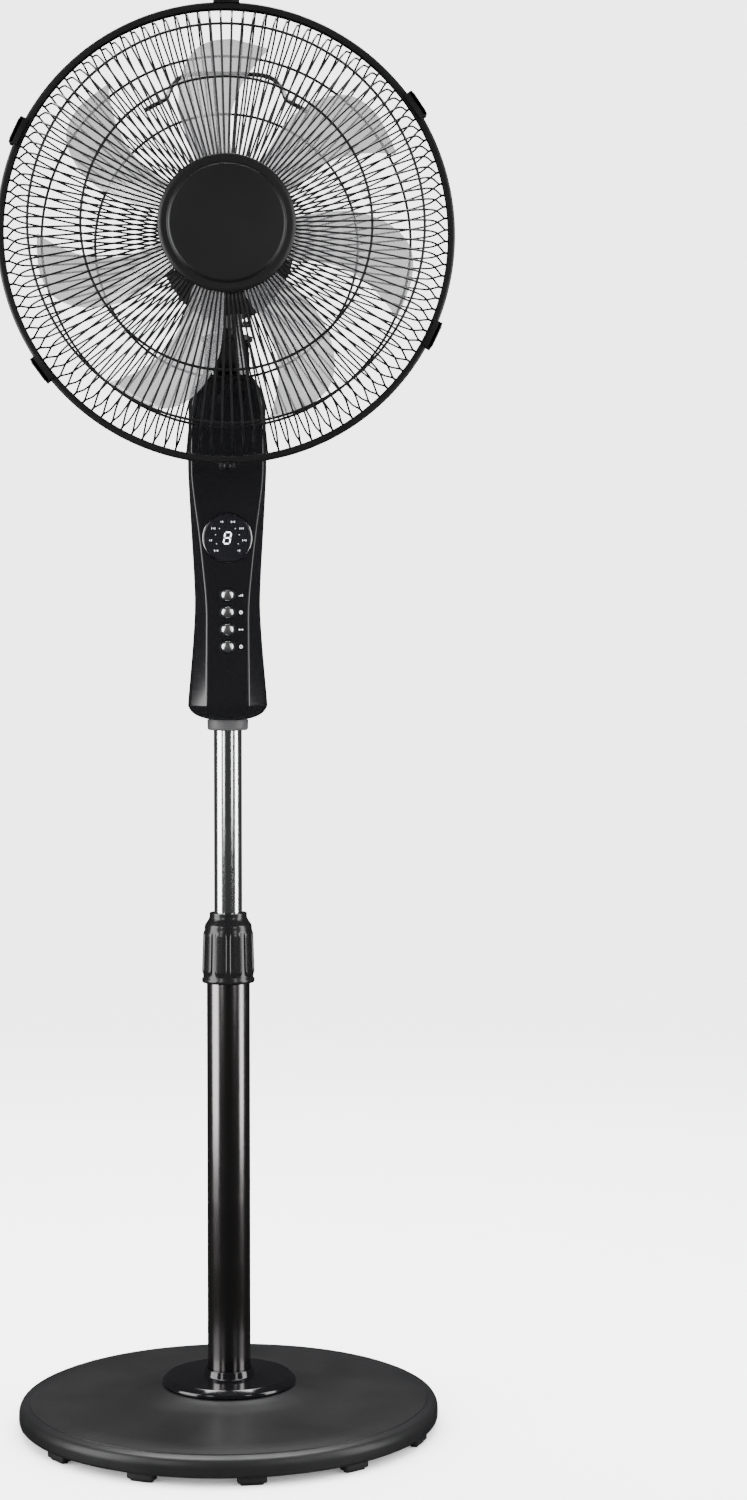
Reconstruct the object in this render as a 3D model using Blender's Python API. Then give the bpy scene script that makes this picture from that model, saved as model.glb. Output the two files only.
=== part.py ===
"""Pedestal fan: a height-adjustable stand, a control box and a swinging, tilting head with a wire cage.

Metres, +Z up. The origin is on the floor under the pole, and the fan blows towards -Y.
"""

from math import asin, cos, pi, radians, sin, sqrt

import bmesh
import bpy
from mathutils import Matrix, Vector

# Clearances between pieces
GAP = 0.0003
SLIDE_GAP = 0.0005

# Base
BASE_RADIUS = 0.195
BASE_RIM_Z = 0.008
BASE_RIM_HEIGHT = 0.0145
BASE_RISE = 0.016
BASE_WALL = 0.0018
BASE_PLATE_THICKNESS = 0.002
BASE_BOSS_RADIUS = 0.016
FOOT_HEIGHT = 0.0085
FOOT_COUNT = 12
FOOT_LENGTH = 0.026
FOOT_WIDTH = 0.011
WEIGHT_INSET = 0.045
WEIGHT_THICKNESS = 0.014
FLANGE_RADIUS = 0.0625
FLANGE_THICKNESS = 0.008
BASE_BOLT_RADIUS = 0.005

# Poles
OUTER_POLE_RADIUS = 0.020
OUTER_POLE_WALL = 0.0012
OUTER_POLE_TOP = 0.458
INNER_POLE_RADIUS = 0.013
INNER_POLE_WALL = 0.0010
POLE_OVERLAP = 0.196
POLE_PLUG_HEIGHT = 0.030
GUIDE_HEIGHT = 0.036

# Height collar
COLLAR_LENGTH = 0.065
COLLAR_RISE = 0.021
COLLAR_WALL = 0.0045
COLLAR_NECK_WALL = 0.0044

# Control box
BOX_BOTTOM = 0.658
BOX_HEIGHT = 0.315
BOX_FRONT = 0.031
BOX_BACK = 0.034
BOX_WALL = 0.0022
SOCKET_WALL = 0.006
SOCKET_DROP = 0.010
SOCKET_GRIP = 0.045
DISPLAY_RISE = 0.166
DISPLAY_RADIUS = 0.0228
DISPLAY_RING_WIDTH = 0.0014
BUTTON_RISE = 0.114
BUTTON_RADIUS = 0.0059
BUTTON_SPACE = 0.0039
BUTTON_TRAVEL = 0.0015
BUTTON_NAMES = ("button_speed", "button_timer", "button_swing", "button_off")

# Neck and tilt joint
NECK_HALF_WIDTH = 0.020
TONGUE_HALF_WIDTH = 0.013
EAR_RADIUS = 0.017
TILT_RISE = 0.014
TILT_BOLT_RADIUS = 0.003

# Motor and swing drive
NECK_LENGTH = 0.0415
MOTOR_RADIUS = 0.0565
MOTOR_FRONT = -0.042
MOTOR_BACK = 0.068
MOTOR_WALL = 0.0022
NOSE_RADIUS = 0.024
NOSE_LENGTH = 0.018
SHAFT_RADIUS = 0.004
STATOR_SPACE = 0.016
STATOR_BORE = 0.0236
STATOR_FRONT = -0.031
STATOR_BACK = -0.007
SPINDLE_RADIUS = 0.005
FOOT_HALF = 0.014
SWING_GEAR_TEETH = 36
SWING_PINION_TEETH = 10
GEAR_MODULE = 0.00125
GEAR_BACKLASH = 0.0006
GEAR_THICKNESS = 0.004

# Cage
CAGE_REACH = 0.083
HOOP_RADIUS = 0.200
HOOP_INSIDE = 0.0065
HOOP_DEPTH = 0.010
HOOP_WALL = 0.0015
WIRE = 0.0020
SPOKES = 20
GUARD_RING_RADIUS = 0.124
GUARD_FRONT = 0.0622
GUARD_BACK = 0.0816
CAP_RADIUS = 0.059
CAP_RAISED_RADIUS = 0.0502
CAP_THICKNESS = 0.0056
GUARD_NUT_RADIUS = 0.042
GUARD_NUT_LENGTH = 0.0115
HANDLE_WIRE_RADIUS = 0.0022

# Blades
BLADE_COUNT = 7
BLADE_TIP_MARGIN = 0.034
BLADE_THICKNESS = 0.0016
BLADE_FIRST_ANGLE = 3
HUB_RADIUS = 0.030
HUB_WALL = 0.0024
HUB_AHEAD = 0.033
HUB_LENGTH = 0.058

# Clips on the hoop, as angles clockwise from the top seen from the front
CLIP_ANGLES = (55.7, 115.7, 233.7, 295.7)
CLIP_LENGTH = 0.025
CLIP_RISE = 0.0040
HINGE_LUG = 0.0040

# Places worked out from the sizes above
PLATE_TOP = FOOT_HEIGHT + BASE_PLATE_THICKNESS
BAND_TOP = BASE_RIM_Z + BASE_RIM_HEIGHT
CROWN = BAND_TOP + BASE_RISE
POLE_FOOT_Z = CROWN + GAP
FLANGE_TOP = CROWN + FLANGE_THICKNESS
OUTER_BORE = OUTER_POLE_RADIUS - OUTER_POLE_WALL
INNER_POLE_BOTTOM = OUTER_POLE_TOP - POLE_OVERLAP
COLLAR_TOP = OUTER_POLE_TOP + COLLAR_RISE
COLLAR_BOTTOM = COLLAR_TOP - COLLAR_LENGTH
COLLAR_RADIUS = OUTER_POLE_RADIUS + COLLAR_WALL
COLLAR_NECK_RADIUS = INNER_POLE_RADIUS + COLLAR_NECK_WALL
SOCKET_RADIUS = INNER_POLE_RADIUS + SOCKET_WALL
SPIGOT_RADIUS = SOCKET_RADIUS - 0.0025
BOX_TOP = BOX_BOTTOM + BOX_HEIGHT
DISPLAY_Z = BOX_BOTTOM + DISPLAY_RISE
BUTTON_Z = BOX_BOTTOM + BUTTON_RISE
BUTTON_PITCH = 2 * BUTTON_RADIUS + BUTTON_SPACE
TILT_Z = BOX_TOP + TILT_RISE
TILT_BRACKET_TOP = TILT_Z + EAR_RADIUS + 0.0055
SWING_FOOT_BOTTOM = TILT_BRACKET_TOP + GEAR_THICKNESS + 0.0026
GEAR_RADIUS = GEAR_MODULE * SWING_GEAR_TEETH / 2
PINION_RADIUS = GEAR_MODULE * SWING_PINION_TEETH / 2
PINION_Y = GEAR_RADIUS + PINION_RADIUS
HEAD_Z = TILT_Z + NECK_LENGTH + MOTOR_RADIUS
STATOR_RADIUS = MOTOR_RADIUS - STATOR_SPACE
HEAD = (0, 0, HEAD_Z)
REAR_SHIELD = STATOR_BACK + 0.0078
SHELF_TOP = HEAD_Z - STATOR_RADIUS - 0.0070
CASING_SCREW = (0, 0, HEAD_Z + 0.030)
LOCK_SCREW_Z = SWING_FOOT_BOTTOM + 0.0050
LEAD_PLACE = (0.007, -FOOT_HALF - 0.0045)
HOOP_Y = MOTOR_FRONT - CAGE_REACH
HOOP_INNER_RADIUS = HOOP_RADIUS - HOOP_INSIDE
HUB_FRONT = HOOP_Y - HUB_AHEAD
HUB_BACK = HUB_FRONT + HUB_LENGTH
BLADE_MIDDLE = (HUB_FRONT + HUB_BACK) / 2 - 0.001
BLADE_TIP_RADIUS = HOOP_RADIUS - BLADE_TIP_MARGIN
PIN_Y = HUB_BACK - 0.0055
CAP_BACK = HOOP_Y - GUARD_FRONT - WIRE / 2 - GAP
CAP_FRONT = CAP_BACK - CAP_THICKNESS
CLIP_AXIS_RADIUS = HOOP_RADIUS + 0.0022
CLIP_AXIS_Y = HOOP_Y + HOOP_DEPTH / 2 + 0.0020

TURN_TO_Y = Matrix.Rotation(-pi / 2, 4, "X")
TURN_TO_X = Matrix.Rotation(pi / 2, 4, "Y")


def clear_scene():
    for item in list(bpy.data.objects):
        bpy.data.objects.remove(item, do_unlink=True)


def material(name, colour, roughness, metallic=0.0, alpha=1.0):
    """A Principled material with the piece's own colour and gloss."""
    made = bpy.data.materials.new(name)
    made.use_nodes = True
    shader = made.node_tree.nodes["Principled BSDF"]
    shader.inputs["Base Color"].default_value = (*colour, 1.0)
    shader.inputs["Roughness"].default_value = roughness
    shader.inputs["Metallic"].default_value = metallic
    shader.inputs["Alpha"].default_value = alpha
    made.diffuse_color = (*colour, alpha)
    return made


def finishes():
    """Every finish the fan has, by name."""
    return {
        "satin_black": material("satin_black", (0.012, 0.012, 0.013), 0.32),
        "gloss_black": material("gloss_black", (0.006, 0.006, 0.007), 0.06),
        "matt_black": material("matt_black", (0.014, 0.014, 0.015), 0.5),
        "wire_black": material("wire_black", (0.010, 0.010, 0.011), 0.3),
        "dark_chrome": material("dark_chrome", (0.18, 0.17, 0.17), 0.12, 1.0),
        "chrome": material("chrome", (0.82, 0.83, 0.84), 0.06, 1.0),
        "steel": material("steel", (0.55, 0.56, 0.57), 0.3, 1.0),
        "cast_metal": material("cast_metal", (0.42, 0.43, 0.44), 0.5, 1.0),
        "copper": material("copper", (0.72, 0.32, 0.14), 0.35, 1.0),
        "brass": material("brass", (0.72, 0.53, 0.22), 0.3, 1.0),
        "laminations": material("laminations", (0.30, 0.30, 0.32), 0.4, 1.0),
        "grey_plastic": material("grey_plastic", (0.10, 0.10, 0.105), 0.45),
        "white_plastic": material("white_plastic", (0.75, 0.75, 0.72), 0.45),
        "smoke_plastic": material("smoke_plastic", (0.22, 0.22, 0.23), 0.15, 0.0, 0.6),
        "display_glass": material("display_glass", (0.004, 0.004, 0.005), 0.03),
        "board_green": material("board_green", (0.03, 0.16, 0.07), 0.4),
        "ballast": material("ballast", (0.28, 0.27, 0.26), 0.9),
    }


def add_object(name, shape, finish, place=(0, 0, 0), smooth=True):
    """Puts a finished bmesh in the scene, with its origin at place."""
    bmesh.ops.recalc_face_normals(shape, faces=shape.faces)
    mesh = bpy.data.meshes.new(name)
    shape.to_mesh(mesh)
    shape.free()
    if smooth:
        mesh.shade_smooth()
        mesh.set_sharp_from_angle(angle=radians(35))
    else:
        mesh.shade_flat()
    made = bpy.data.objects.new(name, mesh)
    made.location = place
    if finish:
        mesh.materials.append(finish)
    bpy.context.scene.collection.objects.link(made)
    return made


def turned_shape(outline, steps, along):
    """A solid of revolution from a closed outline of (radius, position along the axis)."""
    shape = bmesh.new()
    ring = [shape.verts.new((radius, 0, height)) for radius, height in outline]
    pairs = zip(ring, ring[1:] + ring[:1])
    edges = [shape.edges.new((a, b)) for a, b in pairs if a.co.x + b.co.x > 0]
    bmesh.ops.spin(shape, geom=ring + edges, cent=(0, 0, 0), axis=(0, 0, 1), angle=2 * pi, steps=steps,
                   use_merge=True)
    bmesh.ops.remove_doubles(shape, verts=shape.verts, dist=1e-6)
    if along == "Y":
        shape.transform(TURN_TO_Y)
    if along == "X":
        shape.transform(TURN_TO_X)
    return shape


def turned(name, outline, finish=None, place=(0, 0, 0), steps=24, along="Z"):
    return add_object(name, turned_shape(outline, steps, along), finish, place)


def rod(name, radius, low, high, finish=None, place=(0, 0, 0), steps=16, along="Z"):
    return turned(name, [(0, high), (radius, high), (radius, low), (0, low)], finish, place, steps, along)


def tube(name, radius, bore, low, high, finish=None, place=(0, 0, 0), steps=24, along="Z"):
    outline = [(bore, high), (radius, high), (radius, low), (bore, low)]
    return turned(name, outline, finish, place, steps, along)


def block(name, low, high, finish=None, place=(0, 0, 0), rounding=0.0):
    """A box between two corners, which are measured from place."""
    shape = bmesh.new()
    size = Vector(high) - Vector(low)
    middle = (Vector(high) + Vector(low)) / 2
    matrix = Matrix.Translation(middle) @ Matrix.Diagonal((*size, 1))
    bmesh.ops.create_cube(shape, size=1, matrix=matrix)
    made = add_object(name, shape, finish, place, smooth=False)
    if rounding:
        bevel = made.modifiers.new("rounding", "BEVEL")
        bevel.width = rounding
        bevel.segments = 2
    return made


def prism(name, outline, low, high, finish=None, place=(0, 0, 0), along="Z", smooth=False):
    """A flat outline extruded along Z, along Y (outline in X, Z) or along X (outline in Y, Z)."""
    put = {
        "Z": lambda u, v, w: (u, v, w),
        "Y": lambda u, v, w: (u, w, v),
        "X": lambda u, v, w: (w, u, v),
    }[along]
    shape = bmesh.new()
    face = shape.faces.new([shape.verts.new(put(u, v, low)) for u, v in outline])
    grown = bmesh.ops.extrude_face_region(shape, geom=[face])
    moved = [item for item in grown["geom"] if isinstance(item, bmesh.types.BMVert)]
    bmesh.ops.translate(shape, verts=moved, vec=put(0, 0, high - low))
    return add_object(name, shape, finish, place, smooth)


def lofted(name, rings, finish=None, place=(0, 0, 0), smooth=True):
    """A closed solid through rings of equal point counts."""
    shape = bmesh.new()
    loops = [[shape.verts.new(point) for point in ring] for ring in rings]
    for lower, upper in zip(loops, loops[1:]):
        for i in range(len(lower)):
            j = (i + 1) % len(lower)
            shape.faces.new((lower[i], lower[j], upper[j], upper[i]))
    shape.faces.new(loops[0])
    shape.faces.new(loops[-1])
    return add_object(name, shape, finish, place, smooth)


def combine(target, tool, operation):
    """A Boolean of target with tool, which is kept as a hidden guide."""
    tool.hide_render = True
    tool.display_type = "WIRE"
    modifier = target.modifiers.new(tool.name, "BOOLEAN")
    modifier.operation = operation
    modifier.object = tool
    return target


def cut(target, *tools):
    for tool in tools:
        combine(target, tool, "DIFFERENCE")
    return target


def join(target, *tools):
    for tool in tools:
        combine(target, tool, "UNION")
    return target


def arc(centre, radius, start, end, steps):
    """Points on an arc in the plane, angles in degrees."""
    turn = (end - start) / steps
    angles = [radians(start + turn * i) for i in range(steps + 1)]
    return [(centre[0] + radius * cos(a), centre[1] + radius * sin(a)) for a in angles]


def profile_offset(points, wall):
    """The same outline moved down and, at the rim, in by one wall."""
    edge = points[-1][0] - wall
    return [(min(radius, edge), height - wall) for radius, height in points]


def base_pieces(finish):
    """Domed cover, ballast, bottom plate with feet, flange disc, and what holds the pole."""
    hole = BASE_BOLT_RADIUS + SLIDE_GAP
    outside = [
        (hole, CROWN),
        (FLANGE_RADIUS + 0.002, CROWN),
        (FLANGE_RADIUS + 0.014, CROWN - BASE_RISE * 0.14),
        (FLANGE_RADIUS + 0.030, CROWN - BASE_RISE * 0.33),
        (BASE_RADIUS * 0.64, CROWN - BASE_RISE * 0.47),
        (BASE_RADIUS - 0.025, CROWN - BASE_RISE * 0.61),
        (BASE_RADIUS - 0.009, CROWN - BASE_RISE * 0.75),
        (BASE_RADIUS - 0.0035, CROWN - BASE_RISE * 0.91),
        (BASE_RADIUS - 0.0008, BAND_TOP - 0.0020),
        (BASE_RADIUS, BAND_TOP - 0.0060),
        (BASE_RADIUS, BASE_RIM_Z),
    ]
    boss = BASE_BOSS_RADIUS
    inside = profile_offset(outside[1:-1], BASE_WALL)
    inside = [(boss, CROWN - BASE_WALL)] + inside + [(BASE_RADIUS - BASE_WALL, BASE_RIM_Z)]
    boss_foot = [(boss, PLATE_TOP + GAP), (hole, PLATE_TOP + GAP)]
    turned("base_cover", outside + inside[::-1] + boss_foot, finish["satin_black"], steps=32)
    weight_low = PLATE_TOP + GAP
    tube("base_weight", BASE_RADIUS - WEIGHT_INSET, boss + GAP, weight_low, weight_low + WEIGHT_THICKNESS,
         finish["ballast"])

    plate_radius = BASE_RADIUS - BASE_WALL - GAP
    plate = tube("base_plate", plate_radius, hole, FOOT_HEIGHT, PLATE_TOP, finish["matt_black"], steps=32)
    join(plate, foot_pads("foot_pads", plate_radius - 0.0005))

    washer_top = FOOT_HEIGHT - GAP
    tube("base_washer", 0.014, hole, washer_top - 0.0015, washer_top, finish["steel"], steps=16)
    head_top = washer_top - 0.0015 - GAP
    bolt_outline = [
        (0, POLE_FOOT_Z + POLE_PLUG_HEIGHT - 0.006),
        (BASE_BOLT_RADIUS, POLE_FOOT_Z + POLE_PLUG_HEIGHT - 0.006),
        (BASE_BOLT_RADIUS, head_top),
        (0.009, head_top),
        (0.009, head_top - 0.0035),
        (0, head_top - 0.0035),
    ]
    turned("base_bolt", bolt_outline, finish["steel"], steps=16)

    tube("pole_foot", OUTER_BORE - GAP, hole, POLE_FOOT_Z, POLE_FOOT_Z + POLE_PLUG_HEIGHT,
         finish["cast_metal"])
    bore = OUTER_POLE_RADIUS + GAP
    flange = [
        (bore, FLANGE_TOP),
        (FLANGE_RADIUS - 0.0040, FLANGE_TOP),
        (FLANGE_RADIUS - 0.0024, FLANGE_TOP - 0.0008),
        (FLANGE_RADIUS - 0.0008, FLANGE_TOP - 0.0030),
        (FLANGE_RADIUS, FLANGE_TOP - 0.0060),
        (FLANGE_RADIUS, POLE_FOOT_Z),
        (bore, POLE_FOOT_Z),
    ]
    turned("pole_flange", flange, finish["gloss_black"], steps=24)


def foot_pads(name, outer):
    """The pads under the rim, as one tool that the bottom plate takes in."""
    length, width = FOOT_LENGTH, FOOT_WIDTH
    corner = 0.003
    shape = bmesh.new()
    outline = [
        (outer - width, -length / 2 + corner),
        (outer - width + corner, -length / 2),
        (outer - corner, -length / 2),
        (outer - corner / 3, -length / 2 + corner),
        (outer - corner / 3, length / 2 - corner),
        (outer - corner, length / 2),
        (outer - width + corner, length / 2),
        (outer - width, length / 2 - corner),
    ]
    for index in range(FOOT_COUNT):
        turn = Matrix.Rotation(2 * pi * index / FOOT_COUNT + radians(6), 4, "Z")
        face = shape.faces.new([shape.verts.new(turn @ Vector((u, v, 0))) for u, v in outline])
        grown = bmesh.ops.extrude_face_region(shape, geom=[face])
        moved = [item for item in grown["geom"] if isinstance(item, bmesh.types.BMVert)]
        bmesh.ops.translate(shape, verts=moved, vec=(0, 0, FOOT_HEIGHT + BASE_PLATE_THICKNESS / 2))
    return add_object(name, shape, None, smooth=False)


def pole_pieces(finish):
    """Outer pole, the sleeve and collar that grip the inner pole, and the inner pole with its guide."""
    tube("outer_pole", OUTER_POLE_RADIUS, OUTER_BORE, POLE_FOOT_Z, OUTER_POLE_TOP, finish["dark_chrome"],
         steps=24)
    slide_bore = INNER_POLE_RADIUS + SLIDE_GAP
    collar_bore = OUTER_POLE_RADIUS + GAP
    sleeve_shoulder = OUTER_POLE_TOP + 0.0060
    sleeve = [
        (slide_bore, sleeve_shoulder + 0.0068),
        (slide_bore + 0.0015, sleeve_shoulder + 0.0068),
        (OUTER_POLE_RADIUS - GAP, sleeve_shoulder),
        (OUTER_POLE_RADIUS - GAP, OUTER_POLE_TOP + GAP),
        (OUTER_BORE - GAP, OUTER_POLE_TOP + GAP),
        (OUTER_BORE - GAP, OUTER_POLE_TOP - 0.050),
        (slide_bore, OUTER_POLE_TOP - 0.050),
    ]
    turned("clamp_sleeve", sleeve, finish["white_plastic"])

    collar = [
        (COLLAR_RADIUS - 0.0006, COLLAR_BOTTOM),
        (collar_bore, COLLAR_BOTTOM),
        (collar_bore, sleeve_shoulder + 0.0010),
        (slide_bore + GAP, COLLAR_TOP - 0.0045),
        (slide_bore + GAP, COLLAR_TOP),
        (COLLAR_NECK_RADIUS - 0.0004, COLLAR_TOP),
        (COLLAR_NECK_RADIUS, COLLAR_TOP - 0.0030),
        (COLLAR_NECK_RADIUS + 0.0015, COLLAR_TOP - 0.0070),
        (COLLAR_RADIUS - 0.0022, COLLAR_TOP - 0.0115),
        (COLLAR_RADIUS - 0.0015, COLLAR_TOP - 0.0150),
        (COLLAR_RADIUS, COLLAR_BOTTOM + 0.0012),
    ]
    turned("height_collar", collar[::-1], finish["gloss_black"], steps=24)

    pole_top = BOX_BOTTOM - SOCKET_DROP + SOCKET_GRIP
    tube("inner_pole", INNER_POLE_RADIUS, INNER_POLE_RADIUS - INNER_POLE_WALL, INNER_POLE_BOTTOM, pole_top,
         finish["chrome"])
    plug = INNER_POLE_RADIUS - INNER_POLE_WALL - GAP
    guide = [
        (0, INNER_POLE_BOTTOM + GUIDE_HEIGHT - 0.010),
        (plug, INNER_POLE_BOTTOM + GUIDE_HEIGHT - 0.010),
        (plug, INNER_POLE_BOTTOM - GAP),
        (OUTER_BORE - SLIDE_GAP, INNER_POLE_BOTTOM - GAP),
        (OUTER_BORE - SLIDE_GAP, INNER_POLE_BOTTOM - 0.010),
        (0, INNER_POLE_BOTTOM - 0.010),
    ]
    turned("pole_guide", guide, finish["white_plastic"])
    socket_bore = INNER_POLE_RADIUS + GAP
    socket = [
        (0, pole_top + 0.004),
        (SPIGOT_RADIUS, pole_top + 0.004),
        (SPIGOT_RADIUS, BOX_BOTTOM - GAP),
        (SOCKET_RADIUS, BOX_BOTTOM - GAP),
        (SOCKET_RADIUS - 0.0004, BOX_BOTTOM - SOCKET_DROP),
        (socket_bore, BOX_BOTTOM - SOCKET_DROP),
        (socket_bore, pole_top + GAP),
        (0, pole_top + GAP),
    ]
    turned("stem_socket", socket, finish["grey_plastic"])


# Stations up the control box: share of its height, half width, half front panel, share of its depth
BOX_STATIONS = (
    (0.000, SOCKET_RADIUS + 0.0005, 0.0150, 0.72),
    (0.013, 0.0300, 0.0178, 0.86),
    (0.041, 0.0365, 0.0190, 1.00),
    (0.133, 0.0342, 0.0192, 1.00),
    (0.333, 0.0300, 0.0192, 1.00),
    (0.533, 0.0328, 0.0258, 1.00),
    (0.673, 0.0352, 0.0322, 1.00),
    (0.746, 0.0360, 0.0335, 1.00),
    (0.930, 0.0348, 0.0318, 1.00),
    (1.000, 0.0232, 0.0205, 0.74),
)
BOX_SIDE = 0.42


def box_rings(half, inset=0.0):
    """Rings of the box's front (-1) or back (1) half, or of the whole with 0, drawn in by inset."""
    rings = []
    for share, width, panel, depth in BOX_STATIONS:
        z = min(max(BOX_BOTTOM + BOX_HEIGHT * share, BOX_BOTTOM + inset), BOX_TOP - inset)
        side = width - inset
        front = BOX_FRONT * depth
        back = BOX_BACK * depth
        flat = panel - inset / 2
        back_flat = width * 0.62 - inset / 2
        seam = GAP / 2
        ahead = [(-side, -front * BOX_SIDE), (-flat, -front + inset), (flat, -front + inset),
                 (side, -front * BOX_SIDE)]
        behind = [(side, back * BOX_SIDE), (back_flat, back - inset), (-back_flat, back - inset),
                  (-side, back * BOX_SIDE)]
        outline = ahead + behind
        if half < 0:
            outline = ahead + [(side, -seam), (-side, -seam)]
        if half > 0:
            outline = behind + [(-side, seam), (side, seam)]
        rings.append([(x, y, z) for x, y in outline])
    return rings


def control_box(finish):
    """Two shells with bosses, and everything that they hold."""
    front = lofted("control_front_shell", box_rings(-1), finish["gloss_black"], smooth=False)
    back = lofted("control_back_shell", box_rings(1), finish["gloss_black"], smooth=False)
    hollow = lofted("box_hollow", box_rings(0, BOX_WALL), smooth=False)
    socket_hole = rod("socket_hole", SPIGOT_RADIUS + GAP, BOX_BOTTOM - 0.01, BOX_BOTTOM + 0.01,
                      steps=32)
    neck_hole = block("neck_hole", (-NECK_HALF_WIDTH - GAP, -EAR_RADIUS - GAP, BOX_TOP - 0.02),
                      (NECK_HALF_WIDTH + GAP, EAR_RADIUS + GAP, BOX_TOP + 0.01))
    for shell in (front, back):
        cut(shell, hollow, socket_hole, neck_hole)

    below_buttons = BUTTON_Z - BUTTON_PITCH * 3 - BUTTON_RADIUS - 0.0090
    screw_places = {"shell_screw_lower": below_buttons, "shell_screw_upper": BOX_TOP - 0.052}
    shank = 0.0014
    for name, z in screw_places.items():
        place = (0, 0, z)
        boss = rod(name + "_front_boss", 0.0040, -BOX_FRONT + BOX_WALL / 2, -0.0008, None, place, 12, "Y")
        pilot = rod(name + "_pilot", shank + GAP, -0.0120, 0.0050, None, place, 12, "Y")
        cut(join(front, boss), pilot)
        boss = rod(name + "_back_boss", 0.0060, 0.0008, BOX_BACK - BOX_WALL / 2, None, place, 12, "Y")
        well = turned(name + "_well", [(0, 0.05), (0.0040, 0.05), (0.0040, 0.006), (shank + GAP, 0.006),
                                       (shank + GAP, -0.005), (0, -0.005)], None, place, 12, "Y")
        cut(join(back, boss), well)
        turned(name, [(0, 0.0085), (0.0034, 0.0085), (0.0034, 0.006 + GAP), (shank, 0.006 + GAP),
                      (shank, -0.0110), (0, -0.0110)], finish["steel"], place, 10, "Y")

    display_place = (0, 0, DISPLAY_Z)
    face = -BOX_FRONT
    cut(front, rod("display_hole", DISPLAY_RADIUS + GAP, face - 0.01, face + 0.008, None, display_place, 20,
                   "Y"))
    lens = DISPLAY_RADIUS - DISPLAY_RING_WIDTH
    tube("display_ring", DISPLAY_RADIUS, lens, face - 0.0007, face + 0.0022, finish["chrome"],
         display_place, 20, "Y")
    rod("display_lens", lens - GAP, face - 0.0003, face + 0.0022, finish["display_glass"], display_place, 20,
        "Y")
    block("display_board", (-0.019, face + 0.0040, -0.014), (0.019, face + 0.0056, 0.014),
          finish["board_green"], display_place)

    switch_front = -0.0205
    board_front = switch_front + 0.0040
    board_half = BUTTON_PITCH * 1.5 + 0.008
    middle = BUTTON_Z - BUTTON_PITCH * 1.5
    board = block("control_board", (-0.016, board_front, -board_half), (0.016, board_front + 0.0016, board_half),
                  finish["board_green"], (0, 0, middle))
    for index, name in enumerate(BUTTON_NAMES):
        place = (0, 0, BUTTON_Z - BUTTON_PITCH * index)
        cut(front, rod(name + "_hole", BUTTON_RADIUS + GAP, face - 0.01, face + 0.006, None, place, 20, "Y"))
        join(board, block(name + "_switch", (-0.003, switch_front, -0.003), (0.003, board_front + 0.0008, 0.003),
                          None, place))
        button(name, face, switch_front, finish["chrome"], place)

    gland_z = BOX_BOTTOM + 0.026
    place = (0, 0, gland_z)
    cut(back, rod("gland_hole", 0.0048, 0.02, 0.05, None, place, 20, "Y"))
    gland = [(0.0030, BOX_BACK - 0.006), (0.0045, BOX_BACK - 0.006), (0.0045, BOX_BACK + GAP),
             (0.0080, BOX_BACK + GAP), (0.0070, BOX_BACK + 0.0035), (0.0030, BOX_BACK + 0.0035)]
    turned("lead_gland", gland, finish["matt_black"], place, 16, "Y")


def button(name, face, switch_front, finish, place):
    """A domed cap with a retaining flange and a stem that stops one travel short of its switch."""
    flange_front = face + BOX_WALL + GAP
    stem_end = switch_front - BUTTON_TRAVEL - GAP
    dome = [(0, face - 0.0030), (0.0030, face - 0.0026), (0.0050, face - 0.0014), (BUTTON_RADIUS, face + 0.0002)]
    outline = dome + [
        (BUTTON_RADIUS, flange_front),
        (BUTTON_RADIUS + 0.0010, flange_front),
        (BUTTON_RADIUS + 0.0010, flange_front + 0.0014),
        (0.0020, flange_front + 0.0014),
        (0.0020, stem_end),
        (0, stem_end),
    ]
    turned(name, outline, finish, place, 12, "Y")


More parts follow.
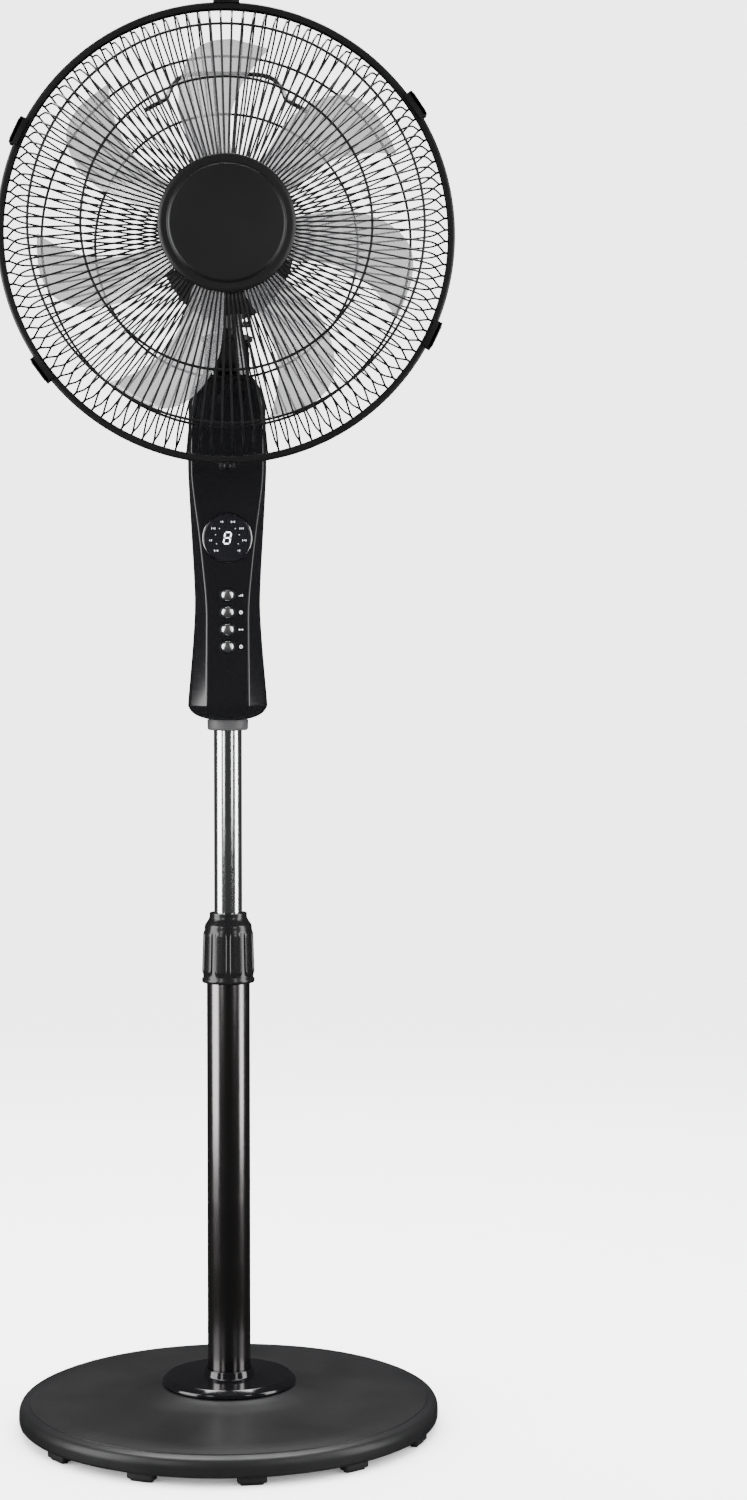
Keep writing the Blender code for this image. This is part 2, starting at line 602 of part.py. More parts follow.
def neck_pieces(finish):
    """Forked neck, tilt bolt and nut, and the bracket that tilts between the fork's ears."""
    place = (0, 0, TILT_Z)
    root = BOX_TOP - 0.032 - TILT_Z
    ear = [(EAR_RADIUS, root)] + arc((0, 0), EAR_RADIUS, 0, 180, 12) + [(-EAR_RADIUS, root)]
    fork = prism("neck_fork", ear, -NECK_HALF_WIDTH, NECK_HALF_WIDTH, finish["matt_black"], place, "X")
    inner = TONGUE_HALF_WIDTH + GAP
    cut(fork, block("tongue_room", (-inner, -0.04, -0.0150), (inner, 0.04, 0.04), None, place))
    join(fork, block("fork_flange", (-0.026, -0.022, root - 0.003), (0.026, 0.022, root + 0.003), None, place))
    cut(fork, rod("fork_bolt_hole", TILT_BOLT_RADIUS + GAP, -0.05, 0.05, None, place, 16, "X"))
    for name, side in (("bolt_head_seat", -1), ("nut_seat", 1)):
        ends = sorted((side * (NECK_HALF_WIDTH - 0.0030), side * 0.05))
        cut(fork, rod(name, 0.0062, *ends, None, place, 16, "X"))

    seat = NECK_HALF_WIDTH - 0.0030 + GAP
    bolt = [(0, seat + 0.0030), (TILT_BOLT_RADIUS, seat + 0.0030), (TILT_BOLT_RADIUS, -seat), (0.0058, -seat),
            (0.0058, -seat - 0.0026), (0, -seat - 0.0026)]
    turned("tilt_bolt", bolt, finish["steel"], place, 16, "X")
    hexagon = [(0.0056 * cos(a * pi / 3), 0.0056 * sin(a * pi / 3)) for a in range(6)]
    nut = prism("tilt_nut", hexagon, seat, seat + 0.0026, finish["steel"], place, "X")
    cut(nut, rod("nut_bore", TILT_BOLT_RADIUS + GAP, 0, 0.05, None, place, 16, "X"))

    reach = 0.0122
    plate_low = EAR_RADIUS + 0.0015
    plate_high = TILT_BRACKET_TOP - TILT_Z
    tongue = arc((0, 0), reach, 180, 360, 12) + [(reach, plate_low + 0.002), (-reach, plate_low + 0.002)]
    bracket = prism("tilt_bracket", tongue, -TONGUE_HALF_WIDTH, TONGUE_HALF_WIDTH, finish["matt_black"], place,
                    "X")
    plate = GEAR_RADIUS + 0.0010
    boss_top = SWING_FOOT_BOTTOM - TILT_Z - GAP
    boss = SPINDLE_RADIUS + 0.0035
    deck = [(0, boss_top), (boss, boss_top), (boss, plate_high), (plate, plate_high), (plate, plate_low),
            (0, plate_low)]
    join(bracket, turned("bracket_deck", deck, None, place, 28))
    join(bracket, sector_gear("bracket_teeth", plate_high - 0.0010, plate_high + GEAR_THICKNESS, place))
    cut(bracket, rod("bracket_bolt_hole", TILT_BOLT_RADIUS + GAP, -0.05, 0.05, None, place, 16, "X"))
    cut(bracket, rod("spindle_hole", SPINDLE_RADIUS + GAP, 0.0060, 0.06, None, place, 20))


def tooth_points(radius, count, index, width_share):
    """One tooth as four points on a gear of this pitch radius, with its middle at its index from +X."""
    pitch = 2 * pi / count
    middle = pitch * index
    root = radius - 1.20 * GEAR_MODULE
    tip = radius + 0.85 * GEAR_MODULE
    half = pitch / 4 * width_share
    flanks = ((root, -half * 1.55), (tip, -half * 0.45), (tip, half * 0.45), (root, half * 1.55))
    return [(r * cos(middle + a), r * sin(middle + a)) for r, a in flanks]


def sector_gear(name, low, high, place):
    """The fixed teeth behind the swing axis, centred on +Y."""
    share = 1 - GEAR_BACKLASH / (pi * GEAR_MODULE)
    outline = []
    for index in range(4, 15):
        outline += tooth_points(GEAR_RADIUS, SWING_GEAR_TEETH, index, share)
    back = [(r * cos(a), r * sin(a)) for r, a in ((0.0060, radians(150)), (0.0060, radians(90)),
                                                  (0.0060, radians(30)))]
    return prism(name, outline + back, low, high, None, place)


def swing_drive(finish):
    """Geared swing motor under the rear shield, with the pinion that walks round the fixed teeth."""
    low = TILT_BRACKET_TOP + 0.0006
    share = 1 - GEAR_BACKLASH / (pi * GEAR_MODULE)
    place = (0, PINION_Y, low)
    outline = []
    for index in range(SWING_PINION_TEETH):
        outline += tooth_points(PINION_RADIUS, SWING_PINION_TEETH, index, share)
    turn = -pi / 2 + pi / SWING_PINION_TEETH
    outline = [(x * cos(turn) - y * sin(turn), x * sin(turn) + y * cos(turn)) for x, y in outline]
    pinion = prism("swing_pinion", outline, 0, GEAR_THICKNESS - 0.0003, finish["white_plastic"], place)
    join(pinion, rod("pinion_shaft", 0.0028, 0.001, SHELF_TOP - low, None, place, 16))
    can = [(0, 0.0163), (0.0170, 0.0163), (0.0180, 0.0155), (0.0180, GAP), (0, GAP)]
    turned("swing_motor", can, finish["steel"], (0, PINION_Y, SHELF_TOP), 20)


def motor_pieces(finish):
    """Motor from its threaded nose at the front to the domed casing at the back."""
    nose = NOSE_RADIUS
    tip = MOTOR_FRONT - NOSE_LENGTH
    seat = 0.0083
    skirt_end = STATOR_FRONT + 0.0010
    shield = [
        (seat, tip),
        (nose, tip),
        (nose, MOTOR_FRONT),
        (MOTOR_RADIUS - 0.0030, MOTOR_FRONT),
        (MOTOR_RADIUS, MOTOR_FRONT + 0.0030),
        (MOTOR_RADIUS, skirt_end),
        (MOTOR_RADIUS - MOTOR_WALL, skirt_end),
        (MOTOR_RADIUS - MOTOR_WALL, MOTOR_FRONT + 0.0030),
        (nose - 0.0040, MOTOR_FRONT + 0.0030),
        (nose - 0.0040, tip + 0.0040),
        (0.0120, tip + 0.0040),
        (0.0120, tip + 0.0120),
        (seat, tip + 0.0120),
    ]
    turned("motor_front_shield", shield, finish["matt_black"], HEAD, 24, "Y")
    bore = SHAFT_RADIUS + GAP
    tube("front_bearing", seat - GAP, bore, tip + 0.0010, tip + 0.0110, finish["brass"], HEAD,
         20, "Y")
    tube("stator_core", STATOR_RADIUS, STATOR_BORE, STATOR_FRONT, STATOR_BACK, finish["laminations"], HEAD, 24,
         "Y")
    tube("front_winding", STATOR_RADIUS - 0.0050, STATOR_BORE + 0.0024, STATOR_FRONT - 0.0072,
         STATOR_FRONT - GAP, finish["copper"], HEAD, 24, "Y")
    tube("rear_winding", STATOR_RADIUS - 0.0050, STATOR_BORE + 0.0024, STATOR_BACK + GAP, STATOR_BACK + 0.0072,
         finish["copper"], HEAD, 24, "Y")
    tube("motor_rotor", STATOR_BORE - GAP, bore, STATOR_FRONT, STATOR_BACK, finish["laminations"], HEAD, 24,
         "Y")
    shaft = rod("motor_shaft", SHAFT_RADIUS, HUB_FRONT - 0.0130, REAR_SHIELD + 0.0130, finish["steel"], HEAD, 20,
                "Y")
    cut(shaft, rod("pin_hole", 0.0018, -0.01, 0.01, None, (0, PIN_Y, HEAD_Z), 12, "X"))
    rod("drive_pin", 0.0015, -0.0085, 0.0085, finish["steel"], (0, PIN_Y, HEAD_Z), 12, "X")
    rear_shield(finish, seat)
    tube("rear_bearing", seat - GAP, bore, REAR_SHIELD + 0.0015, REAR_SHIELD + 0.0115, finish["brass"], HEAD, 20,
         "Y")
    motor_cover(finish)
    swing_drive(finish)


def rear_shield(finish, seat):
    """Cast shield that carries the rear bearing, the swing motor's shelf and the foot on the spindle."""
    disc = [(seat, REAR_SHIELD), (STATOR_RADIUS, REAR_SHIELD), (STATOR_RADIUS, REAR_SHIELD + 0.0040),
            (0.0120, REAR_SHIELD + 0.0040), (0.0120, REAR_SHIELD + 0.0120), (seat, REAR_SHIELD + 0.0120)]
    shield = turned("motor_rear_shield", disc, finish["cast_metal"], HEAD, 24, "Y")
    foot = FOOT_HALF
    join(
        shield,
        block("shield_web", (-foot, REAR_SHIELD + 0.0003, SHELF_TOP - 0.003),
              (foot, REAR_SHIELD + 0.0037, HEAD_Z - STATOR_RADIUS + 0.006)),
        block("shield_shelf", (-foot + 0.0003, -foot + 0.0003, SHELF_TOP - 0.004),
              (foot - 0.0003, PINION_Y + 0.0130, SHELF_TOP)),
        block("shield_foot", (-foot, -foot, SWING_FOOT_BOTTOM), (foot, foot, SHELF_TOP - 0.0010)),
    )
    cut(
        shield,
        rod("pinion_room", 0.0045, SHELF_TOP - 0.02, SHELF_TOP + 0.001, None, (0, PINION_Y, 0), 16),
        rod("foot_bore", SPINDLE_RADIUS + GAP, SWING_FOOT_BOTTOM - 0.01, SHELF_TOP - 0.0018, None, (0, 0, 0), 20),
        rod("lock_hole", 0.0021, 0.002, 0.03, None, (0, 0, LOCK_SCREW_Z), 12, "X"),
        rod("casing_screw_hole", 0.0019, -0.01, 0.03, None, CASING_SCREW, 12, "Y"),
    )
    rod("swing_spindle", SPINDLE_RADIUS, TILT_Z + 0.0063, SHELF_TOP - 0.0021, finish["steel"], (0, 0, 0), 20)
    tip = SPINDLE_RADIUS + 2 * GAP
    screw = [(0, 0.0205), (0.0030, 0.0205), (0.0030, foot + GAP), (0.0018, foot + GAP), (0.0018, tip), (0, tip)]
    turned("spindle_screw", screw, finish["steel"], (0, 0, LOCK_SCREW_Z), 12, "X")


def motor_cover(finish):
    """The casing behind the motor, open below for the foot and the pinion."""
    front = STATOR_FRONT + 0.0010 + GAP
    wall = MOTOR_WALL
    dome = [
        (MOTOR_RADIUS, front),
        (MOTOR_RADIUS, MOTOR_BACK - 0.0280),
        (MOTOR_RADIUS - 0.0025, MOTOR_BACK - 0.0170),
        (MOTOR_RADIUS - 0.0100, MOTOR_BACK - 0.0065),
        (MOTOR_RADIUS - 0.0240, MOTOR_BACK),
    ]
    hollow = [(radius - wall, place - wall * (place > 0)) for radius, place in dome]
    outline = dome + [(0, MOTOR_BACK), (0, MOTOR_BACK - wall)] + hollow[::-1]
    outline[-1] = (MOTOR_RADIUS - wall, front)
    cover = turned("motor_cover", outline, finish["gloss_black"], HEAD, 32, "Y")
    foot = FOOT_HALF + GAP
    post = rod("casing_post", 0.0050, REAR_SHIELD + 0.0040 + GAP, MOTOR_BACK - wall / 2, None, CASING_SCREW, 16,
               "Y")
    cut(
        join(cover, post),
        block("foot_opening", (-foot, -foot, SWING_FOOT_BOTTOM - 0.01), (foot, foot, SHELF_TOP + 0.0010)),
        rod("shaft_opening", 0.0042, SHELF_TOP - 0.02, SHELF_TOP + 0.0002, None, (0, PINION_Y, 0), 16),
        rod("screw_well", 0.0040, MOTOR_BACK - 0.0080, MOTOR_BACK + 0.02, None, CASING_SCREW, 16, "Y"),
        rod("screw_passage", 0.0019, 0, MOTOR_BACK, None, CASING_SCREW, 12, "Y"),
    )
    screw = [(0, MOTOR_BACK - 0.0050), (0.0036, MOTOR_BACK - 0.0050), (0.0036, MOTOR_BACK - 0.0080 + GAP),
             (0.0015, MOTOR_BACK - 0.0080 + GAP), (0.0015, REAR_SHIELD + 0.0005), (0, REAR_SHIELD + 0.0005)]
    turned("casing_screw", screw, finish["steel"], CASING_SCREW, 8, "Y")

    lead_x, lead_y = LEAD_PLACE
    top = HEAD_Z - sqrt(MOTOR_RADIUS**2 - lead_x**2) - 0.0005
    low = TILT_BRACKET_TOP + GAP
    ribs = int((top - low) / 0.0035)
    pitch = (top - low) / ribs
    outline = [(0, top)]
    for index in range(ribs):
        z = top - pitch * index
        outline += [(0.0030, z), (0.0030, z - pitch * 0.5), (0.0024, z - pitch * 0.5), (0.0024, z - pitch)]
    turned("motor_lead", outline + [(0, low)], finish["grey_plastic"], (lead_x, lead_y, 0), 10)


# Blade outline from root to tip: leading reach and angle, trailing reach and angle, depth along the axis.
# A reach is 0 inside the hub's wall and 1 at the tip.
BLADE_STATIONS = (
    (0.000, 13.0, 0.000, -33.0, 0.040),
    (0.266, 8.0, 0.266, -21.0, 0.042),
    (0.425, 7.5, 0.425, -17.8, 0.039),
    (0.576, 6.2, 0.592, -18.4, 0.036),
    (0.728, 2.6, 0.758, -21.8, 0.033),
    (0.947, -6.5, 0.947, -27.2, 0.026),
    (1.000, -17.0, 0.992, -28.4, 0.014),
)
BLADE_CHORD_STEPS = 2


def blade_shape(shape, turn):
    """Adds one closed blade: a cambered sheet between the leading and trailing outlines."""
    sides = ([], [])
    root = HUB_RADIUS - HUB_WALL / 2
    span = BLADE_TIP_RADIUS - root
    for lead, lead_a, trail, trail_a, depth in BLADE_STATIONS:
        rows = ([], [])
        for step in range(BLADE_CHORD_STEPS + 1):
            share = step / BLADE_CHORD_STEPS
            radius = root + span * (lead + (trail - lead) * share)
            angle = radians(lead_a + (trail_a - lead_a) * share) + turn
            camber = 0.12 * depth * (1 - (2 * share - 1) ** 2)
            y = BLADE_MIDDLE + depth * (share - 0.5) + camber
            for side, row in enumerate(rows):
                lift = BLADE_THICKNESS * (side - 0.5)
                row.append(shape.verts.new((radius * cos(angle), y + lift, HEAD_Z + radius * sin(angle))))
        sides[0].append(rows[0])
        sides[1].append(rows[1])
    front, back = sides
    for grid, flip in ((front, False), (back, True)):
        for low, high in zip(grid, grid[1:]):
            for i in range(BLADE_CHORD_STEPS):
                corners = (low[i], low[i + 1], high[i + 1], high[i])
                shape.faces.new(corners[::-1] if flip else corners)
    border, matching = [
        [row[0] for row in grid] + grid[-1][1:] + [row[-1] for row in grid[-2::-1]] + grid[0][-2:0:-1]
        for grid in sides
    ]
    for i in range(len(border)):
        j = (i + 1) % len(border)
        shape.faces.new((border[i], border[j], matching[j], matching[i]))


def fan_blade(finish):
    """The hub with its blades, and the nut that holds it on the shaft."""
    bore = SHAFT_RADIUS + GAP
    hub = [
        (bore, HUB_FRONT),
        (HUB_RADIUS - 0.0040, HUB_FRONT),
        (HUB_RADIUS, HUB_FRONT + 0.0050),
        (HUB_RADIUS, HUB_BACK),
        (HUB_RADIUS - HUB_WALL, HUB_BACK),
        (HUB_RADIUS - HUB_WALL, HUB_FRONT + 0.0040),
        (0.0100, HUB_FRONT + 0.0040),
        (0.0100, HUB_BACK - 0.0030),
        (bore, HUB_BACK - 0.0030),
    ]
    blades = bmesh.new()
    for index in range(BLADE_COUNT):
        blade_shape(blades, radians(BLADE_FIRST_ANGLE) + 2 * pi * index / BLADE_COUNT)
    tool = add_object("blade_set", blades, None)
    fan = turned("fan_blade", hub, finish["smoke_plastic"], HEAD, 28, "Y")
    move_mesh(tool, HEAD)
    slot = block("pin_slot", (-0.0092, PIN_Y - 0.0019, -0.0019), (0.0092, HUB_BACK, 0.0019), None, HEAD)
    cut(join(fan, tool), slot)
    nut_back = HUB_FRONT - GAP
    nut = [(0, nut_back - 0.0170), (0.0060, nut_back - 0.0165), (0.0095, nut_back - 0.0140),
           (0.0120, nut_back - 0.0040), (0.0140, nut_back), (bore, nut_back), (bore, HUB_FRONT - 0.0135),
           (0, HUB_FRONT - 0.0135)]
    turned("blade_nut", nut, finish["matt_black"], HEAD, 16, "Y")


def move_mesh(item, origin):
    """Gives an object built in world places an origin of its own."""
    item.data.transform(Matrix.Translation(-Vector(origin)))
    item.location = origin


# Guard sections from the rim in: radius, distance from the hoop's middle as a share of the guard's
# depth, and whether a ring fills the step before. RIM_SEAT places each rim in the hoop's channel.
RIM_SEAT = 0.0015
RING_RADIUS = HOOP_RADIUS - 0.0300
FRONT_GUARD = (
    (HOOP_RADIUS - 0.0025, 0.0, False),
    (HOOP_RADIUS - 0.0050, 0.0, True),
    (HOOP_RADIUS - 0.0085, 0.006, False),
    (HOOP_RADIUS - 0.0190, 0.715, False),
    (RING_RADIUS, 0.950, False),
    (RING_RADIUS - 0.0022, 0.966, True),
    (GUARD_RING_RADIUS + 0.0010, 0.993, False),
    (GUARD_RING_RADIUS - 0.0010, 0.993, True),
    (CAP_RADIUS - 0.0030, 1.0, False),
    (CAP_RADIUS - 0.0150, 1.0, True),
)
REAR_GUARD = (
    (HOOP_RADIUS - 0.0025, 0.0, False),
    (HOOP_RADIUS - 0.0050, 0.0, True),
    (HOOP_RADIUS - 0.0085, 0.004, False),
    (HOOP_RADIUS - 0.0170, 0.395, False),
    (RING_RADIUS - 0.0048, 0.613, False),
    (RING_RADIUS - 0.0070, 0.628, True),
    (GUARD_RING_RADIUS - 0.0050, 0.933, False),
    (GUARD_RING_RADIUS - 0.0072, 0.945, True),
    (CAP_RADIUS - 0.0010, 0.998, False),
    (NOSE_RADIUS + 0.0016, 1.0, True),
)


def wire_guard(name, section, depth, finish):
    """Radial wires joined by rings, as one sheet given the wire's thickness. Depth is negative ahead."""
    seat = RIM_SEAT if depth > 0 else -RIM_SEAT
    shape = bmesh.new()
    pitch = 2 * pi / SPOKES
    stations = []
    for radius, share, _ in section:
        y = HOOP_Y + seat + (depth - seat) * share
        half = asin(WIRE / 2 / radius)
        ring = []
        for index in range(SPOKES):
            for angle in (pitch * index - half, pitch * index + half):
                ring.append(shape.verts.new((radius * cos(angle), y, radius * sin(angle))))
        stations.append(ring)
    count = 2 * SPOKES
    for outer, inner, (_, _, filled) in zip(stations, stations[1:], section[1:]):
        for index in range(0, count, 1 if filled else 2):
            after = (index + 1) % count
            shape.faces.new((outer[index], outer[after], inner[after], inner[index]))
    guard = add_object(name, shape, finish, HEAD, smooth=False)
    solid = guard.modifiers.new("wire", "SOLIDIFY")
    solid.thickness = WIRE
    solid.offset = 0
    return guard


def on_hoop(turn, radius, along, y):
    """A place on the hoop: turn clockwise from the top in degrees, along its tangent, and y."""
    a = radians(90 - turn)
    return Vector((radius * cos(a) - along * sin(a), y, HEAD_Z + radius * sin(a) + along * cos(a)))


def hoop_block(shape, turn, low, high):
    """Adds a box to shape: low and high are (radius, along the tangent, y)."""
    picks = [(i, j, k) for i in (0, 1) for j in (0, 1) for k in (0, 1)]
    box = (low, high)
    points = {pick: shape.verts.new(on_hoop(turn, box[pick[0]][0], box[pick[1]][1], box[pick[2]][2]))
              for pick in picks}
    for axis in range(3):
        for side in (0, 1):
            corners = []
            for u, v in ((0, 0), (0, 1), (1, 1), (1, 0)):
                pick = [u, v]
                pick.insert(axis, side)
                corners.append(points[tuple(pick)])
            shape.faces.new(corners)


def cage(finish):
    """Both guards, the hoop round them, its clips and screw, the handle, the nut and the centre cap."""
    wire_guard("front_guard", FRONT_GUARD, -GUARD_FRONT, finish["wire_black"])
    wire_guard("rear_guard", REAR_GUARD, GUARD_BACK, finish["wire_black"])
    half = HOOP_DEPTH / 2
    web = HOOP_RADIUS - HOOP_WALL
    channel = [
        (HOOP_RADIUS, HOOP_Y - half),
        (HOOP_RADIUS, HOOP_Y + half),
        (HOOP_INNER_RADIUS, HOOP_Y + half),
        (HOOP_INNER_RADIUS, HOOP_Y + half - HOOP_WALL),
        (web, HOOP_Y + half - HOOP_WALL),
        (web, HOOP_Y - half + HOOP_WALL),
        (HOOP_INNER_RADIUS, HOOP_Y - half + HOOP_WALL),
        (HOOP_INNER_RADIUS, HOOP_Y - half),
    ]
    hoop = turned("guard_hoop", channel, finish["satin_black"], HEAD, 48, "Y")
    lugs = bmesh.new()
    front = HOOP_Y - half
    back = HOOP_Y + half
    for turn, half_length in ((0, 0.0115), (180, 0.0070)):
        hoop_block(lugs, turn, (web + 0.0002, -half_length, front - 0.0010),
                   (HOOP_RADIUS + CLIP_RISE, half_length, back + 0.0010))
    for turn in CLIP_ANGLES:
        for side in (-1, 1):
            inner = side * (CLIP_LENGTH / 2 - HINGE_LUG)
            ends = sorted((inner, inner + side * HINGE_LUG))
            hoop_block(lugs, turn, (HOOP_RADIUS - 0.0010, ends[0], back - 0.0010),
                       (CLIP_AXIS_RADIUS + 0.0012, ends[1], CLIP_AXIS_Y + 0.0012))
    tool = add_object("hoop_lugs", lugs, None, smooth=False)
    move_mesh(tool, HEAD)
    screw_place = (0, 0, HEAD_Z - HOOP_RADIUS - 0.0019)
    cut(join(hoop, tool), rod("hoop_screw_hole", 0.0016, -0.2, 0, None, screw_place, 12, "Y"))
    head = front - 0.0010 - GAP
    screw = [(0, head - 0.0018), (0.0030, head - 0.0018), (0.0030, head), (0.0013, head), (0.0013, back + 0.0018),
             (0, back + 0.0018)]
    turned("hoop_screw", screw, finish["steel"], screw_place, 12, "Y")

    for index, turn in enumerate(CLIP_ANGLES):
        clip(f"hoop_clip_{index + 1}", turn, front, back, finish["satin_black"])

    nut_back = HOOP_Y + GUARD_BACK - WIRE / 2 - GAP
    nut_front = nut_back - GUARD_NUT_LENGTH
    nut_bore = NOSE_RADIUS + GAP
    nut = [(nut_bore, nut_back), (GUARD_NUT_RADIUS - 0.0020, nut_back), (GUARD_NUT_RADIUS, nut_back - 0.0020),
           (GUARD_NUT_RADIUS, nut_front + 0.0025), (GUARD_NUT_RADIUS - 0.0020, nut_front), (nut_bore, nut_front)]
    turned("guard_nut", nut, finish["satin_black"], HEAD, 28, "Y")
    cap = [(0, CAP_FRONT), (CAP_RAISED_RADIUS - 0.0012, CAP_FRONT), (CAP_RAISED_RADIUS, CAP_FRONT + 0.0010),
           (CAP_RAISED_RADIUS + 0.0004, CAP_FRONT + 0.0022), (CAP_RADIUS - 0.0020, CAP_FRONT + 0.0026),
           (CAP_RADIUS, CAP_FRONT + 0.0042), (CAP_RADIUS, CAP_BACK), (0, CAP_BACK)]
    turned("centre_cap", cap, finish["satin_black"], HEAD, 24, "Y")
    guard_handle(finish)


def clip(name, turn, front, back, finish):
    """A lever clip over the hoop, with its origin on its own hinge behind the hoop."""
    shape = bmesh.new()
    length = CLIP_LENGTH / 2
    hinge_half = length - HINGE_LUG - GAP
    top = HOOP_RADIUS + CLIP_RISE
    hoop_block(shape, turn, (HOOP_RADIUS + GAP, -length, front - 0.0024), (top, length, back - 0.0018))
    origin = on_hoop(turn, CLIP_AXIS_RADIUS, 0, CLIP_AXIS_Y)
    made = add_object(name, shape, finish, smooth=False)
    move_mesh(made, origin)
    hook = bmesh.new()
    hoop_block(hook, turn, (HOOP_RADIUS - 0.0045, -length, front - 0.0024), (top - 0.0004, length, front - GAP))
    hook = add_object(name + "_hook", hook, None, smooth=False)
    arm = bmesh.new()
    hoop_block(arm, turn, (CLIP_AXIS_RADIUS - 0.0012, -hinge_half, back - 0.0030),
               (CLIP_AXIS_RADIUS + 0.0016, hinge_half, CLIP_AXIS_Y + 0.0012))
    arm = add_object(name + "_arm", arm, None, smooth=False)
    for tool in (hook, arm):
        move_mesh(tool, origin)
        join(made, tool)


def guard_handle(finish):
    """Carrying handle: a wire that lies along the rear guard, then bends out and up to a flat grip."""
    low = RING_RADIUS - 0.0300
    high = RING_RADIUS - 0.0120
    lie = HOOP_Y + GUARD_BACK * 0.848
    lift = HOOP_Y + GUARD_BACK * 1.16
    half = [
        (31, low, lie),
        (26, low + 0.0008, lie),
        (22.5, low + 0.0025, lie + 0.005),
        (20, low + 0.010, lift - 0.009),
        (17.5, high + 0.0005, lift - 0.002),
        (14, high + 0.004, lift),
        (7, high + 0.001, lift),
    ]
    route = half + [(0, high, lift)] + [(-turn, r, y) for turn, r, y in half[::-1]]
    curve = bpy.data.curves.new("guard_handle", "CURVE")
    curve.dimensions = "3D"
    spline = curve.splines.new("NURBS")
    spline.points.add(len(route) - 1)
    for point, (turn, r, y) in zip(spline.points, route):
        place = on_hoop(turn, r, 0, y) - Vector(HEAD)
        point.co = (*place, 1)
    spline.order_u = 3
    spline.use_endpoint_u = True
    spline.resolution_u = 2
    curve.bevel_depth = HANDLE_WIRE_RADIUS
    curve.bevel_resolution = 1
    curve.use_fill_caps = True
    curve.materials.append(finish["wire_black"])
    made = bpy.data.objects.new("guard_handle", curve)
    made.location = HEAD
    bpy.context.scene.collection.objects.link(made)


# Each joint's place and the joint that carries it
JOINTS = {
    "height_slide": ((0, 0, INNER_POLE_BOTTOM), None),
    "tilt": ((0, 0, TILT_Z), "height_slide"),
    "swing": ((0, 0, SWING_FOOT_BOTTOM), "tilt"),
    "blade_spin": (HEAD, "swing"),
}
# The pieces that each joint carries
RIDES = {
    "height_slide": (
        "inner_pole", "pole_guide", "stem_socket", "control_front_shell", "control_back_shell", "display_ring",
        "display_lens", "display_board", "control_board", "shell_screw_lower", "shell_screw_upper", "lead_gland",
        "neck_fork", "tilt_bolt", "tilt_nut", *BUTTON_NAMES,
    ),
    "tilt": ("tilt_bracket",),
    "swing": (
        "swing_spindle", "spindle_screw", "motor_rear_shield", "motor_front_shield", "front_bearing",
        "rear_bearing", "stator_core", "front_winding", "rear_winding", "motor_cover", "casing_screw",
        "swing_motor", "swing_pinion", "motor_lead", "guard_nut", "rear_guard", "guard_handle", "front_guard",
        "guard_hoop", "hoop_screw", "centre_cap",
        *[f"hoop_clip_{index + 1}" for index in range(len(CLIP_ANGLES))],
    ),
    "blade_spin": ("motor_rotor", "motor_shaft", "drive_pin", "fan_blade", "blade_nut"),
}


def hang_on_joints():
    """Parents each piece to an empty on its joint's axis, where it already stands."""
    empties = {}
    for name, (place, parent) in JOINTS.items():
        empty = bpy.data.objects.new(name + "_axis", None)
        empty.empty_display_size = 0.05
        empty.location = place
        bpy.context.scene.collection.objects.link(empty)
        empties[name] = empty
        if parent:
            empty.parent = empties[parent]
            empty.matrix_parent_inverse = Matrix.Translation(-Vector(JOINTS[parent][0]))
    for joint, names in RIDES.items():
        back = Matrix.Translation(-Vector(JOINTS[joint][0]))
        for name in names:
            piece = bpy.data.objects[name]
            piece.parent = empties[joint]
            piece.matrix_parent_inverse = back


def main():
    clear_scene()
    finish = finishes()
    base_pieces(finish)
    pole_pieces(finish)
    control_box(finish)
    neck_pieces(finish)
    motor_pieces(finish)
    fan_blade(finish)
    cage(finish)
    hang_on_joints()


main()
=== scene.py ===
"""Pedestal fan: the visible pieces, their finishes and the stage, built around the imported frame.

Metres, +Z up. The fan stands on the origin and blows towards -Y.
"""

from math import atan2, cos, hypot, pi, radians, sin, sqrt

import bmesh
import bpy
from bpy.props import FloatProperty, FloatVectorProperty, IntProperty, PointerProperty
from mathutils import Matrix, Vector


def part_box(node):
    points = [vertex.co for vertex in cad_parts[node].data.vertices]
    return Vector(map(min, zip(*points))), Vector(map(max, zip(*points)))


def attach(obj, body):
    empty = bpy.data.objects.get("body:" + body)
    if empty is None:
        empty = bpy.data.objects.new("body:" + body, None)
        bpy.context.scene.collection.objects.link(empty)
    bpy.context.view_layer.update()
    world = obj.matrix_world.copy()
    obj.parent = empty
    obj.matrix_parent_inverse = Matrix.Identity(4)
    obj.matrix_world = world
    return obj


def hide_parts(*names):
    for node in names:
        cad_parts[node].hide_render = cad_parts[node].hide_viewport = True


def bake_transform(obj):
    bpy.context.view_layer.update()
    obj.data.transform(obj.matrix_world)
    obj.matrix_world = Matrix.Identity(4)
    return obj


bl_info = {
    "name": "Pedestal Fan",
    "version": (1, 0, 0),
    "blender": (4, 5, 0),
    "location": "View3D > Sidebar > Fan",
    "description": "Builds a pedestal fan piece by piece around its moving frame",
    "category": "Object",
}

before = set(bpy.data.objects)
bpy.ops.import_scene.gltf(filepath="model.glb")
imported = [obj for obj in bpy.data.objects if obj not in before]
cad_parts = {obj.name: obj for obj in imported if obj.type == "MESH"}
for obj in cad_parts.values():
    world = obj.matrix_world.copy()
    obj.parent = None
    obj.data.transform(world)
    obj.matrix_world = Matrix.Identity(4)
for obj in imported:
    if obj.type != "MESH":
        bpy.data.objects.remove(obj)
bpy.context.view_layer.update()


def low_high(node, axis):
    """Where a frame node begins and ends along one axis, 0 to 2."""
    low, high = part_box(node)
    return low[axis], high[axis]


def middle(node, axis):
    low, high = low_high(node, axis)
    return (low + high) / 2


